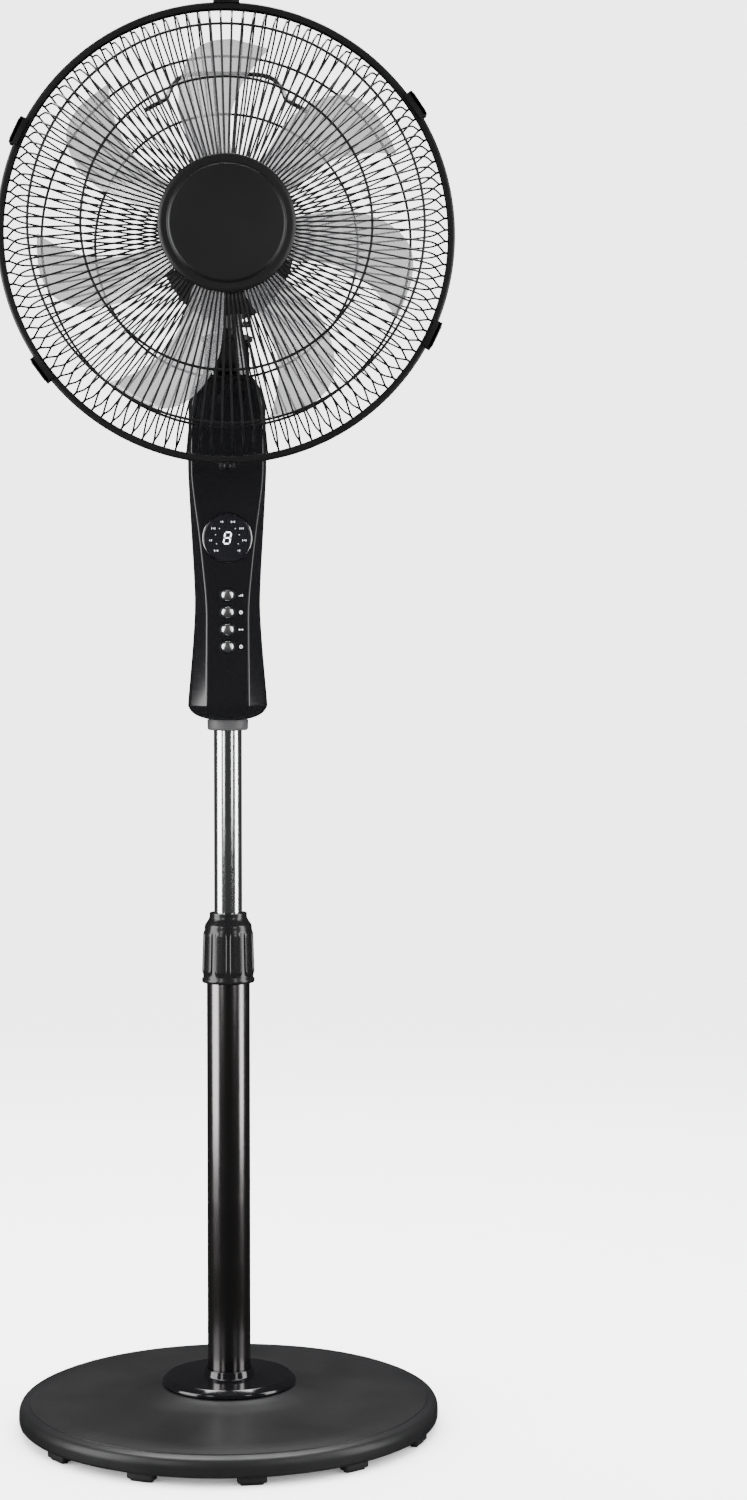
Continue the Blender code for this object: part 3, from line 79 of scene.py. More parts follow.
# Places taken from the frame
HEAD_Z = middle("motor_rotor", 2)
HEAD = Vector((0, 0, HEAD_Z))
HOOP_Y = low_high("front_guard", 1)[1] + 0.0005
HOOP_FRONT = HOOP_Y - 0.005
HOOP_BACK = HOOP_Y + 0.005
HOOP_RADIUS = low_high("rear_guard", 0)[1] + 0.0025
BASE_RADIUS = low_high("base_cover", 0)[1]
BOX_BOTTOM, BOX_TOP = low_high("control_front_shell", 2)
BOX_FRONT = -low_high("control_front_shell", 1)[0]
BOX_BACK = low_high("control_back_shell", 1)[1]
DISPLAY_Z = middle("display_ring", 2)
TILT_Z = middle("tilt_bolt", 2)

BUTTONS = ("button_speed", "button_timer", "button_swing", "button_off")
CLIPS = ("hoop_clip_1", "hoop_clip_2", "hoop_clip_3", "hoop_clip_4")


# ---------------------------------------------------------------- settings


class FanStandSettings(bpy.types.PropertyGroup):
    """Sizes of the base, poles and collar."""

    groove_depth: FloatProperty(
        name="Rim groove", description="Depth of the groove over the base's rim band", default=0.0007,
        unit="LENGTH"
    )
    pole_steps: IntProperty(name="Pole steps", description="Facets round each pole", default=96, min=24)
    grip_count: IntProperty(name="Grip panels", description="Raised panels round the collar", default=10,
                            min=4)
    grip_height: FloatProperty(
        name="Grip height", description="How far the collar's panels stand out", default=0.0011,
        unit="LENGTH"
    )


class FanCageSettings(bpy.types.PropertyGroup):
    """Sizes of the wire cage."""

    wire_count: IntProperty(name="Wires", description="Radial wires in each guard", default=120, min=24)
    wire_diameter: FloatProperty(
        name="Wire diameter", description="Diameter of the radial wires", default=0.0018, unit="LENGTH"
    )
    ring_diameter: FloatProperty(
        name="Ring diameter", description="Diameter of the wires that cross the radial ones",
        default=0.0024, unit="LENGTH"
    )


class FanBladeSettings(bpy.types.PropertyGroup):
    """Shape and tint of the blades."""

    blade_count: IntProperty(name="Blades", description="Blades on the hub", default=7, min=2)
    thickness: FloatProperty(
        name="Thickness", description="Blade thickness in the middle", default=0.0018, unit="LENGTH"
    )
    opacity: FloatProperty(
        name="Opacity", description="How much of the light a blade stops", default=0.62, min=0, max=1,
        subtype="FACTOR"
    )


class FanColourSettings(bpy.types.PropertyGroup):
    """Base colours of the visible finishes."""

    black: FloatVectorProperty(
        name="Black", description="Satin black of the base and cage", subtype="COLOR",
        default=(0.0036, 0.0036, 0.0039)
    )
    gloss: FloatVectorProperty(
        name="Gloss black", description="Polished black of the control box", subtype="COLOR",
        default=(0.0022, 0.0022, 0.0026)
    )
    pole: FloatVectorProperty(
        name="Outer pole", description="Dark chrome of the outer pole", subtype="COLOR",
        default=(0.20, 0.19, 0.19)
    )
    blade: FloatVectorProperty(
        name="Blades", description="Smoky tint of the blades", subtype="COLOR", default=(0.13, 0.13, 0.135)
    )


# ---------------------------------------------------------------- shader maths


class Term:
    """A node socket that adds Math nodes when it is used in an expression."""

    def __init__(self, tree, socket):
        self.tree = tree
        self.socket = socket

    def _math(self, operation, *values):
        return self.tree.node("ShaderNodeMath", {"operation": operation}, dict(enumerate(values)))

    def __add__(self, other):
        return self._math("ADD", self, other)

    def __radd__(self, other):
        return self._math("ADD", other, self)

    def __sub__(self, other):
        return self._math("SUBTRACT", self, other)

    def __rsub__(self, other):
        return self._math("SUBTRACT", other, self)

    def __mul__(self, other):
        return self._math("MULTIPLY", self, other)

    def __rmul__(self, other):
        return self._math("MULTIPLY", other, self)

    def __truediv__(self, other):
        return self._math("DIVIDE", self, other)

    def __pow__(self, other):
        return self._math("POWER", self, other)

    def sine(self):
        return self._math("SINE", self)

    def clamped(self):
        return self.tree.node("ShaderNodeClamp", {}, {"Value": self})


class Finish:
    """A Principled material and the nodes that vary it."""

    def __init__(self, name, colour, roughness, **fixed):
        self.material = bpy.data.materials.new(name)
        self.material.use_nodes = True
        self.nodes = self.material.node_tree.nodes
        self.links = self.material.node_tree.links
        self.shader = self.nodes["Principled BSDF"]
        self.set("Base Color", (*colour, 1.0))
        self.set("Roughness", roughness)
        for socket, value in fixed.items():
            self.set(socket.replace("_", " "), value)
        self.material.diffuse_color = (*colour, 1.0)

    def node(self, kind, settings, inputs, output=0):
        """Adds a node, sets it, feeds its sockets, and gives back one output."""
        made = self.nodes.new(kind)
        for key, value in settings.items():
            if key == "stops":
                self._stops(made.color_ramp, value)
            else:
                setattr(made, key, value)
        for key, value in inputs.items():
            socket = made.inputs[key]
            if isinstance(value, Term):
                self.links.new(value.socket, socket)
            else:
                socket.default_value = value
        return Term(self, made.outputs[output])

    def _stops(self, ramp, stops):
        while len(ramp.elements) < len(stops):
            ramp.elements.new(0.5)
        for element, (place, shade) in zip(ramp.elements, stops):
            element.position = place
            element.color = (shade, shade, shade, 1.0)

    def set(self, socket, value):
        if isinstance(value, Term):
            self.links.new(value.socket, self.shader.inputs[socket])
        else:
            self.shader.inputs[socket].default_value = value
        return self

    def place(self):
        return self.node("ShaderNodeTexCoord", {}, {}, "Object")

    def axis(self, place, index):
        return self.node("ShaderNodeSeparateXYZ", {}, {"Vector": place}, index)

    def scaled(self, place, factors):
        return self.node("ShaderNodeVectorMath", {"operation": "MULTIPLY"}, {0: place, 1: factors})

    def noise(self, place, scale, detail=3.0, roughness=0.5):
        return self.node(
            "ShaderNodeTexNoise", {}, {"Vector": place, "Scale": scale, "Detail": detail,
                                       "Roughness": roughness}
        )

    def ramp(self, value, stops):
        return self.node("ShaderNodeValToRGB", {"stops": stops}, {"Fac": value})

    def tint(self, share, one, other):
        """A colour that goes from one to the other with share."""
        return self.node(
            "ShaderNodeMix", {"data_type": "RGBA"}, {0: share, 6: (*one, 1.0), 7: (*other, 1.0)}, 2
        )

    def bump(self, height, strength, distance):
        normal = self.node(
            "ShaderNodeBump", {}, {"Height": height, "Strength": strength, "Distance": distance}
        )
        return self.set("Normal", normal)


def lighter(colour, factor):
    return tuple(min(part * factor, 1.0) for part in colour)


# ---------------------------------------------------------------- finishes


def painted(name, colour, roughness, grain=0.00005, scale=900):
    """Powder-coated steel: a fine orange-peel skin with faint dust and rub marks."""
    finish = Finish(name, colour, roughness, Specular_IOR_Level=0.3, Coat_Weight=0.05, Coat_Roughness=0.2)
    place = finish.place()
    wear = finish.ramp(finish.noise(place, 14.0, 4.0), ((0.35, 0.0), (0.75, 1.0)))
    finish.set("Base Color", finish.tint(wear * 0.6, colour, lighter(colour, 1.7)))
    finish.set("Roughness", roughness + wear * 0.07 + finish.noise(place, 160.0) * 0.05)
    return finish.bump(finish.noise(place, scale, 2.0), 0.35, grain).material


def moulded(name, colour, roughness, grain=0.00006, scale=1600, coat=0.0):
    """Injection-moulded plastic with a fine spark-eroded grain and slow shade changes."""
    finish = Finish(name, colour, roughness, Specular_IOR_Level=0.45, Coat_Weight=coat, Coat_Roughness=0.08)
    place = finish.place()
    flow = finish.ramp(finish.noise(place, 9.0, 3.0), ((0.3, 0.0), (0.7, 1.0)))
    finish.set("Base Color", finish.tint(flow * 0.5, colour, lighter(colour, 1.5)))
    finish.set("Roughness", roughness + flow * 0.06)
    return finish.bump(finish.noise(place, scale, 2.0), 0.3, grain).material


def polished(name, colour, roughness=0.045):
    """Piano-black plastic: a deep clear gloss with hairline swirls and a slight waviness."""
    finish = Finish(name, colour, roughness, Specular_IOR_Level=0.5, Coat_Weight=0.15, Coat_Roughness=0.06)
    place = finish.place()
    swirl = finish.ramp(finish.noise(finish.scaled(place, (1.0, 1.0, 6.0)), 120.0, 5.0),
                        ((0.55, 0.0), (0.62, 1.0)))
    finish.set("Roughness", roughness + swirl * 0.03 + finish.noise(place, 18.0) * 0.02)
    finish.set("Base Color", finish.tint(finish.noise(place, 30.0) * 0.4, colour, lighter(colour, 2.0)))
    return finish.bump(finish.noise(place, 26.0, 1.0), 0.08, 0.0004).material


def plated(name, colour, roughness, along=2, streak=0.05):
    """Chromed tube: a mirror with faint drawing lines along it and a few finger smears."""
    finish = Finish(name, colour, roughness, Metallic=1.0)
    place = finish.place()
    stretch = [260.0, 260.0, 260.0]
    stretch[along] = 3.0
    lines = finish.noise(finish.scaled(place, tuple(stretch)), 1.0, 4.0)
    smear = finish.ramp(finish.noise(place, 22.0, 5.0), ((0.52, 0.0), (0.78, 1.0)))
    finish.set("Roughness", roughness + lines * streak * 0.5 + smear * streak)
    finish.set("Base Color", finish.tint(smear * 0.35, colour, lighter(colour, 0.86)))
    return finish.bump(lines, 0.05, 0.0001).material


def machined(name, colour, roughness, rings=1800.0):
    """Turned or plated steel with fine tool lines."""
    finish = Finish(name, colour, roughness, Metallic=1.0)
    place = finish.place()
    lines = finish.noise(finish.scaled(place, (1.0, 1.0, 0.05)), rings, 2.0)
    stain = finish.ramp(finish.noise(place, 60.0, 4.0), ((0.4, 0.0), (0.8, 1.0)))
    finish.set("Roughness", roughness + lines * 0.12 + stain * 0.1)
    finish.set("Base Color", finish.tint(stain * 0.5, colour, lighter(colour, 0.7)))
    return finish.bump(lines, 0.15, 0.00005).material


def wound(name, colour):
    """Enamelled winding wire: rounded strands side by side, with painted shade on their sides and in the
    grooves between them.
    """
    finish = Finish(name, colour, 0.3, Metallic=1.0)
    place = finish.place()
    strands = (finish.axis(place, 1) * 9000.0).sine() * 0.5 + 0.5
    # Colour darker towards the grooves between strands: painted shade over the bumped strand shape.
    finish.set("Base Color", finish.tint(strands, lighter(colour, 0.35), colour))
    return finish.bump(strands, 0.6, 0.0003).material


def stacked(name, colour):
    """Stamped sheets stacked along Y."""
    finish = Finish(name, colour, 0.4, Metallic=1.0)
    place = finish.place()
    sheets = ((finish.axis(place, 1) * 12500.0).sine() * 0.5 + 0.5) ** 0.5
    finish.set("Base Color", finish.tint(sheets, lighter(colour, 0.4), colour))
    finish.set("Roughness", 0.35 + finish.noise(place, 200.0) * 0.2)
    return finish.bump(sheets, 0.5, 0.0002).material


def cast(name, colour, roughness=0.5, scale=420.0, metallic=1.0):
    """Cast metal or stone with a sandy skin."""
    finish = Finish(name, colour, roughness, Metallic=metallic)
    place = finish.place()
    sand = finish.noise(place, scale, 4.0, 0.7)
    finish.set("Base Color", finish.tint(sand, lighter(colour, 0.6), lighter(colour, 1.25)))
    finish.set("Roughness", roughness + sand * 0.2)
    return finish.bump(sand, 0.5, 0.0004).material


def smoky(name, colour, opacity):
    """See-through smoky plastic, deeper towards the root, with faint flow lines."""
    finish = Finish(name, colour, 0.16, Specular_IOR_Level=0.5, Coat_Weight=0.2, Coat_Roughness=0.08)
    place = finish.place()
    across = finish.axis(place, 0)
    up = finish.axis(place, 2) - HEAD_Z
    reach = (across * across + up * up) ** 0.5
    root = (1.0 - reach * 12.0).clamped()
    flow = finish.noise(finish.scaled(place, (1.0, 3.0, 1.0)), 26.0, 3.0)
    finish.set("Alpha", (opacity + root * 0.25 + flow * 0.06 - 0.03).clamped())
    finish.set("Roughness", 0.13 + flow * 0.08)
    finish.set("Base Color", finish.tint(flow, lighter(colour, 0.85), lighter(colour, 1.15)))
    return finish.bump(flow, 0.1, 0.0005).material


def glass_black(name):
    """Black display window with a faint haze under the gloss."""
    finish = Finish(name, (0.004, 0.004, 0.005), 0.03, Specular_IOR_Level=0.6, Coat_Weight=1.0,
                    Coat_Roughness=0.02)
    place = finish.place()
    haze = finish.ramp(finish.noise(place, 240.0, 4.0), ((0.55, 0.0), (0.8, 1.0)))
    finish.set("Roughness", 0.03 + haze * 0.04)
    return finish.set("Base Color", finish.tint(haze * 0.5, (0.004, 0.004, 0.005),
                                                (0.009, 0.009, 0.010))).material


def lit(name, colour, strength):
    """Printed or lit mark: white ink with a soft glow and a slightly uneven film. On the printed marks,
    which are no lamps, the glow is painted light.
    """
    finish = Finish(name, colour, 0.4, Emission_Strength=strength)
    film = finish.noise(finish.place(), 900.0, 2.0)
    finish.set("Base Color", finish.tint(film * 0.3, colour, lighter(colour, 0.7)))
    return finish.set("Emission Color", finish.tint(film * 0.3, colour, lighter(colour, 0.8))).material


def board(name, colour):
    """Circuit board: solder resist over copper tracks."""
    finish = Finish(name, colour, 0.35)
    place = finish.place()
    cells = finish.noise(finish.scaled(place, (300.0, 1.0, 300.0)), 1.0, 0.0)
    tracks = finish.ramp(cells, ((0.48, 0.0), (0.52, 1.0)))
    finish.set("Base Color", finish.tint(tracks, colour, lighter(colour, 2.2)))
    return finish.bump(tracks, 0.3, 0.00005).material


# ---------------------------------------------------------------- mesh tools


def smooth_path(points, steps):
    """A Catmull-Rom line through the points, with this many steps for each stretch."""
    points = [Vector(point) for point in points]
    ends = [points[0] * 2 - points[1]] + points + [points[-1] * 2 - points[-2]]
    path = []
    for before, start, end, after in zip(ends, ends[1:], ends[2:], ends[3:]):
        for step in range(steps):
            t = step / steps
            path.append(
                0.5
                * (
                    2 * start
                    + (end - before) * t
                    + (2 * before - 5 * start + 4 * end - after) * t**2
                    + (3 * start - before - 3 * end + after) * t**3
                )
            )
    return path + [points[-1]]


def rounded(corners, radius, steps=3, closed=True):
    """The outline with its corners rounded. A corner's own third number replaces the radius."""
    count = len(corners)
    line = []
    for index, corner in enumerate(corners):
        here = Vector(corner[:2])
        if not closed and index in (0, count - 1):
            line.append(here)
            continue
        before = Vector(corners[index - 1][:2]) - here
        after = Vector(corners[(index + 1) % count][:2]) - here
        reach = corner[2] if len(corner) > 2 else radius
        reach = min(reach, before.length * 0.45, after.length * 0.45)
        if reach < 1e-6:
            line.append(here)
            continue
        start = here + before.normalized() * reach
        end = here + after.normalized() * reach
        for step in range(steps + 1):
            t = step / steps
            line.append(start * (1 - t) ** 2 + here * (2 * t * (1 - t)) + end * t**2)
    return [tuple(point) for point in line]


def ring_place(turn, radius, along, y):
    """A place round the head: turn clockwise from the top in degrees, seen from the front."""
    a = radians(90 - turn)
    return Vector((radius * cos(a) - along * sin(a), y, HEAD_Z + radius * sin(a) + along * cos(a)))


class Shape:
    """Points and faces of one piece while it is built."""

    def __init__(self):
        self.points = []
        self.faces = []

    def grid(self, rows, around=False, onward=False):
        """Joins rows of equal length: around closes each row, onward joins the last row to the first."""
        first = len(self.points)
        width = len(rows[0])
        for row in rows:
            self.points.extend(tuple(point) for point in row)
        for i in range(len(rows) if onward else len(rows) - 1):
            for j in range(width if around else width - 1):
                low = first + i * width
                high = first + (i + 1) % len(rows) * width
                after = (j + 1) % width
                self.faces.append((low + j, low + after, high + after, high + j))
        return self

    def cap(self, row):
        first = len(self.points)
        self.points.extend(tuple(point) for point in row)
        self.faces.append(tuple(range(first, first + len(row))))
        return self

    def turned(self, outline, steps=64, centre=(0, 0, 0), along="Z", reach=None, closed=True):
        """Revolves an outline of (radius, position). reach changes a radius by angle and position."""
        rows = []
        for index in range(steps):
            angle = 2 * pi * index / steps
            row = []
            for radius, place in outline:
                r = radius + (reach(angle, radius, place) if reach else 0)
                spot = {
                    "Z": (r * cos(angle), r * sin(angle), place),
                    "Y": (r * cos(angle), place, r * sin(angle)),
                    "X": (place, r * cos(angle), r * sin(angle)),
                }[along]
                row.append(Vector(centre) + Vector(spot))
            rows.append(row)
        return self.grid(rows, around=closed, onward=True)

    def wire(self, path, radius, sides=8, closed=False):
        """A round wire along a path, with rounded ends if it is open."""
        path = [Vector(point) for point in path]
        count = len(path)
        rows = []
        side = None
        for index, here in enumerate(path):
            before = path[index - 1] if closed or index else here
            after = path[(index + 1) % count] if closed or index < count - 1 else here
            ahead = (after - before).normalized()
            if side is None:
                helper = Vector((0, 0, 1)) if abs(ahead.z) < 0.8 else Vector((1, 0, 0))
                side = ahead.cross(helper).normalized()
            side = (side - ahead * side.dot(ahead)).normalized()
            up = ahead.cross(side)
            thick = radius(index) if callable(radius) else radius
            rows.append([
                here + (side * cos(2 * pi * k / sides) + up * sin(2 * pi * k / sides)) * thick
                for k in range(sides)
            ])
        if closed:
            return self.grid(rows, around=True, onward=True)
        for end, inner in ((0, 1), (-1, -2)):
            out = (path[end] - path[inner]).normalized() * (rows[end][0] - path[end]).length * 0.6
            tip = [path[end] + (point - path[end]) * 0.6 + out for point in rows[end]]
            rows = [tip] + rows if end == 0 else rows + [tip]
        self.grid(rows, around=True)
        self.cap(rows[0])
        return self.cap(rows[-1])

    def slab(self, outline, low, high, put, edge=0.0005, steps=2):
        """A flat outline with thickness and rounded edges. put turns (u, v, w) into a place."""
        middle_u = sum(point[0] for point in outline) / len(outline)
        middle_v = sum(point[1] for point in outline) / len(outline)
        turns = [pi / 2 * step / steps for step in range(steps + 1)]
        levels = [(low + edge * (1 - cos(a)), edge * (1 - sin(a))) for a in turns]
        levels += [(high - (w - low), inset) for w, inset in levels[::-1]]
        rows = []
        for w, inset in levels:
            row = []
            for u, v in outline:
                reach = max(hypot(u - middle_u, v - middle_v), 1e-9)
                share = 1 - inset / reach
                row.append(put(middle_u + (u - middle_u) * share, middle_v + (v - middle_v) * share, w))
            rows.append(row)
        self.grid(rows, around=True)
        self.cap(rows[0])
        return self.cap(rows[-1])

    def box(self, low, high, rounding=0.0006, put=None):
        """A box with rounded edges."""
        outline = rounded([(low[0], low[1]), (high[0], low[1]), (high[0], high[1]), (low[0], high[1])],
                          rounding)
        return self.slab(outline, low[2], high[2], put or (lambda u, v, w: (u, v, w)), rounding)

    def on_ring(self, turn, low, high, rounding=0.0006):
        """A rounded box on the hoop: corners are (radius, along the tangent, y)."""
        return self.box(low, high, rounding, lambda r, along, y: ring_place(turn, r, along, y))

    def piece(self, name, finish, body, replaced=(), slot=None, sharp=38):
        """Turns the shape into a piece that rides on a body and stands for frame nodes."""
        mesh = bpy.data.meshes.new(name)
        mesh.from_pydata(self.points, [], self.faces)
        work = bmesh.new()
        work.from_mesh(mesh)
        bmesh.ops.remove_doubles(work, verts=work.verts, dist=2e-6)
        bmesh.ops.dissolve_degenerate(work, edges=work.edges, dist=1e-7)
        bmesh.ops.recalc_face_normals(work, faces=work.faces)
        work.to_mesh(mesh)
        work.free()
        mesh.shade_smooth()
        mesh.set_sharp_from_angle(angle=radians(sharp))
        made = bpy.data.objects.new(name, mesh)
        made.data.materials.append(FINISHES[finish])
        bpy.context.scene.collection.objects.link(made)
        if body:
            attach(made, body)
        if replaced:
            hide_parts(*replaced)
        return made


FINISHES = {}


def dress(node, finish):
    """Gives a frame node that stays visible its finish."""
    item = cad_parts[node]
    if not item.material_slots:
        item.data.materials.append(FINISHES[finish])
    for slot in item.material_slots:
        slot.material = FINISHES[finish]


def drill(target, tools):
    """Cuts shapes out of a piece and keeps its smooth faces."""
    for tool in tools:
        mesh = bpy.data.meshes.new("drill")
        mesh.from_pydata(tool.points, [], tool.faces)
        work = bmesh.new()
        work.from_mesh(mesh)
        bmesh.ops.remove_doubles(work, verts=work.verts, dist=1e-6)
        bmesh.ops.recalc_face_normals(work, faces=work.faces)
        work.to_mesh(mesh)
        work.free()
        helper = bpy.data.objects.new("drill", mesh)
        bpy.context.scene.collection.objects.link(helper)
        cut = target.modifiers.new("drill", "BOOLEAN")
        cut.operation = "DIFFERENCE"
        cut.solver = "EXACT"
        cut.object = helper
        graph = bpy.context.evaluated_depsgraph_get()
        result = bpy.data.meshes.new_from_object(target.evaluated_get(graph))
        target.modifiers.remove(cut)
        old = target.data
        target.data = result
        bpy.data.meshes.remove(old)
        bpy.data.objects.remove(helper)
        bpy.data.meshes.remove(mesh)


# ---------------------------------------------------------------- stand


class FAN_OT_base(bpy.types.Operator):
    """Domed cover, flange disc, and the bottom plate with its pads"""

    bl_idname = "fan.base"
    bl_label = "Base"

    def execute(self, context):
        stand = context.scene.fan_stand
        low, crown = low_high("base_cover", 2)
        edge = BASE_RADIUS
        flange = low_high("pole_flange", 0)[1]
        dome = smooth_path([
            (flange + 0.0015, crown, 0),
            (flange + 0.012, crown - 0.0034, 0),
            (flange + 0.029, crown - 0.0068, 0),
            (edge * 0.64, crown - 0.0082, 0),
            (edge - 0.034, crown - 0.0088, 0),
            (edge - 0.021, crown - 0.0100, 0),
            (edge - 0.0105, crown - 0.0122, 0),
        ], 8)
        dome = [(0.0056, crown)] + [(point.x, point.y) for point in dome]
        groove = stand.groove_depth
        last = dome[-1]
        band = rounded([
            last,
            (last[0] + 0.0008, last[1] - groove * 1.6, 0.0006),
            (last[0] + 0.0020, last[1] - groove * 0.6, 0.0008),
            (edge - 0.0024, crown - 0.0152, 0.003),
            (edge, crown - 0.0200, 0.004),
            (edge, low + 0.0016, 0.0008),
            (edge - 0.0006, low, 0.0005),
            (edge - 0.0018, low),
        ], 0.001, 5, closed=False)[1:]
        inside = [(edge - 0.0018, crown - 0.0200)] + [(min(r, edge - 0.003), z - 0.0018) for r,
                                                      z in dome[::-1]]
        Shape().turned(dome + band + inside, 160).piece(
            "base_shell", "base", "base", ["base_cover"], "satin_black"
        )

        floor_z, top = low_high("pole_flange", 2)
        boss = 0.0065
        disc = rounded([
            (0.0203, top + boss), (0.0226, top + boss, 0.0006), (0.0238, top, 0.0010),
            (flange - 0.0052, top, 0.0005), (flange - 0.0004, top - 0.0038, 0.0008),
            (flange, top - 0.0062, 0.0006), (flange - 0.0010, floor_z, 0.0004), (0.0203, floor_z),
        ], 0.0004, 4)
        Shape().turned(disc, 160).piece("flange_disc", "disc", "base", ["pole_flange"], "gloss_black")

        plate_radius = low_high("base_plate", 0)[1]
        plate_low = 0.0085
        plate = [(0.0056, plate_low)]
        for bead in (0.045, 0.095, 0.145):
            plate += [(bead - 0.006, plate_low), (bead - 0.003, plate_low + 0.0009),
                      (bead + 0.003, plate_low + 0.0009),
                      (bead + 0.006, plate_low)]
        plate += [(plate_radius, plate_low), (plate_radius, plate_low + 0.0012),
                  (0.0056, plate_low + 0.0022)]
        shape = Shape().turned(rounded(plate, 0.0015, 3), 120)
        outer = plate_radius - 0.0006
        length, width = 0.026, 0.011
        pad = rounded([(outer - width, -length / 2), (outer, -length / 2), (outer, length / 2),
                       (outer - width, length / 2)], 0.0032, 4)
        inner_pad = [(outer - width / 2 + (u - outer + width / 2) * 0.62, v * 0.8) for u, v in pad]
        for index in range(12):
            turn = radians(6) + 2 * pi * index / 12

            def put(u, v, w, turn=turn):
                return (u * cos(turn) - v * sin(turn), u * sin(turn) + v * cos(turn), w)

            shape.slab(pad, 0.0022, plate_low + 0.0004, put, 0.0010, 3)
            shape.slab(inner_pad, 0.0, 0.0030, put, 0.0008, 3)
        shape.piece("bottom_plate", "matt", "base", ["base_plate"], "matt_black")
        return {"FINISHED"}


class FAN_OT_poles(bpy.types.Operator):
    """Outer and inner pole, and the socket over the inner pole"""

    bl_idname = "fan.poles"
    bl_label = "Poles"

    def execute(self, context):
        steps = context.scene.fan_stand.pole_steps
        for name, node, wall, body, finish, slot in (
            ("pole_lower", "outer_pole", 0.0012, "base", "dark_pole", "dark_chrome"),
            ("pole_upper", "inner_pole", 0.0010, "stem", "bright_pole", "chrome"),
        ):
            radius = low_high(node, 0)[1]
            low, high = low_high(node, 2)
            section = rounded([(radius - wall, low), (radius, low), (radius, high), (radius - wall, high)],
                              0.0004, 3)
            Shape().turned(section, steps).piece(name, finish, body, [node], slot)

        low = low_high("stem_socket", 2)[0]
        wide = low_high("stem_socket", 0)[1]
        bore = low_high("inner_pole", 0)[1] + 0.0002
        socket = rounded([
            (bore, low), (wide - 0.0012, low, 0.0006), (wide - 0.0002, low + 0.0016, 0.0008),
            (wide, BOX_BOTTOM - 0.0003), (0.0165, BOX_BOTTOM - 0.0003), (0.0165, BOX_BOTTOM + 0.035),
            (bore, BOX_BOTTOM + 0.035),
        ], 0.0002, 3)
        Shape().turned(socket, 96).piece("pole_socket", "grey", "stem", ["stem_socket"], "grey_plastic")
        return {"FINISHED"}


class FAN_OT_collar(bpy.types.Operator):
    """Height collar with raised grip panels round it"""

    bl_idname = "fan.collar"
    bl_label = "Height collar"

    def execute(self, context):
        stand = context.scene.fan_stand
        low, high = low_high("height_collar", 2)
        wide = low_high("height_collar", 0)[1]
        bore = 0.0203
        neck = 0.0174
        grip_low, grip_high = low + 0.0065, low + 0.0490
        grip = stand.grip_height
        count = stand.grip_count

        def panels(angle, radius, place):
            if radius < bore + 0.001 or not grip_low <= place <= grip_high:
                return 0
            u = abs((angle * count / (2 * pi) + 0.5) % 1 - 0.5) / 0.40
            if u >= 1:
                return 0
            v = (place - grip_low) / (grip_high - grip_low)
            bow = 0.5 + 0.5 * sqrt(max(1 - u**2.4, 0))
            end = min(v, 1 - v) / (0.10 * (2 - bow))
            share = min(1, end * bow) * min(1, (1 - u) / 0.14)
            return grip * (share * share * (3 - 2 * share))

        body = wide - grip
        outline = [(bore, low), (wide - 0.0008, low), (wide, low + 0.0008), (wide, low + 0.0034),
                   (body, low + 0.0046)]
        outline += [(body - 0.0013 * i / 44, grip_low + (grip_high - grip_low) * i / 44) for i in range(45)]
        outline += rounded([
            (body - 0.0014, grip_high + 0.0008), (body - 0.0015, high - 0.0118, 0.003),
            (neck + 0.0012, high - 0.0070, 0.002),
            (neck, high - 0.0045, 0.002), (neck, high - 0.0002, 0.0004), (0.0142, high, 0.0004),
            (0.0138, high - 0.0045),
            (bore, low + 0.052),
        ], 0.0005, 5, closed=False)
        Shape().turned(outline, 360, reach=panels).piece(
            "height_grip", "collar", "collar", ["height_collar"], "gloss_black_plastic", 50
        )
        return {"FINISHED"}


# ---------------------------------------------------------------- control box


# Stations up the box: share of its height, half width, half front panel, share of its depth
BOX_STATIONS = (
    (0.000, 0.0172, 0.0130, 0.70),
    (0.006, 0.0245, 0.0158, 0.79),
    (0.018, 0.0318, 0.0180, 0.89),
    (0.036, 0.0360, 0.0189, 0.97),
    (0.052, 0.0364, 0.0191, 1.00),
    (0.133, 0.0342, 0.0192, 1.00),
    (0.233, 0.0316, 0.0191, 1.00),
    (0.333, 0.0300, 0.0194, 1.00),
    (0.433, 0.0310, 0.0222, 1.00),
    (0.533, 0.0328, 0.0258, 1.00),
    (0.673, 0.0352, 0.0318, 1.00),
    (0.746, 0.0360, 0.0330, 1.00),
    (0.880, 0.0354, 0.0322, 1.00),
    (0.930, 0.0346, 0.0308, 0.98),
    (0.968, 0.0300, 0.0262, 0.88),
    (1.000, 0.0232, 0.0196, 0.74),
)
BOX_SIDE = 0.42
SEAM = 0.00018


def box_row(share, width, panel, depth, side, inset):
    """Half a ring of the box: the front with side -1, the back with side 1."""
    z = min(max(BOX_BOTTOM + (BOX_TOP - BOX_BOTTOM) * share, BOX_BOTTOM + inset), BOX_TOP - inset)
    half = width - inset
    if side < 0:
        reach = BOX_FRONT * depth
        flat = min(panel, width - 0.0022) - inset / 2
        creases = (0.0050, 0.0016)
    else:
        reach = BOX_BACK * depth
        flat = width * 0.62 - inset / 2
        creases = (0.0070, 0.0080)
    corners = [
        (-half, SEAM * side), (-half, reach * BOX_SIDE * side, creases[0]), (-flat, (reach - inset) * side,
                                                                             creases[1]),
        (flat, (reach - inset) * side, creases[1]), (half, reach * BOX_SIDE * side, creases[0]),
        (half, SEAM * side),
    ]
    return [Vector((x, y, z)) for x, y in rounded(corners, 0.002, 7, closed=False)]


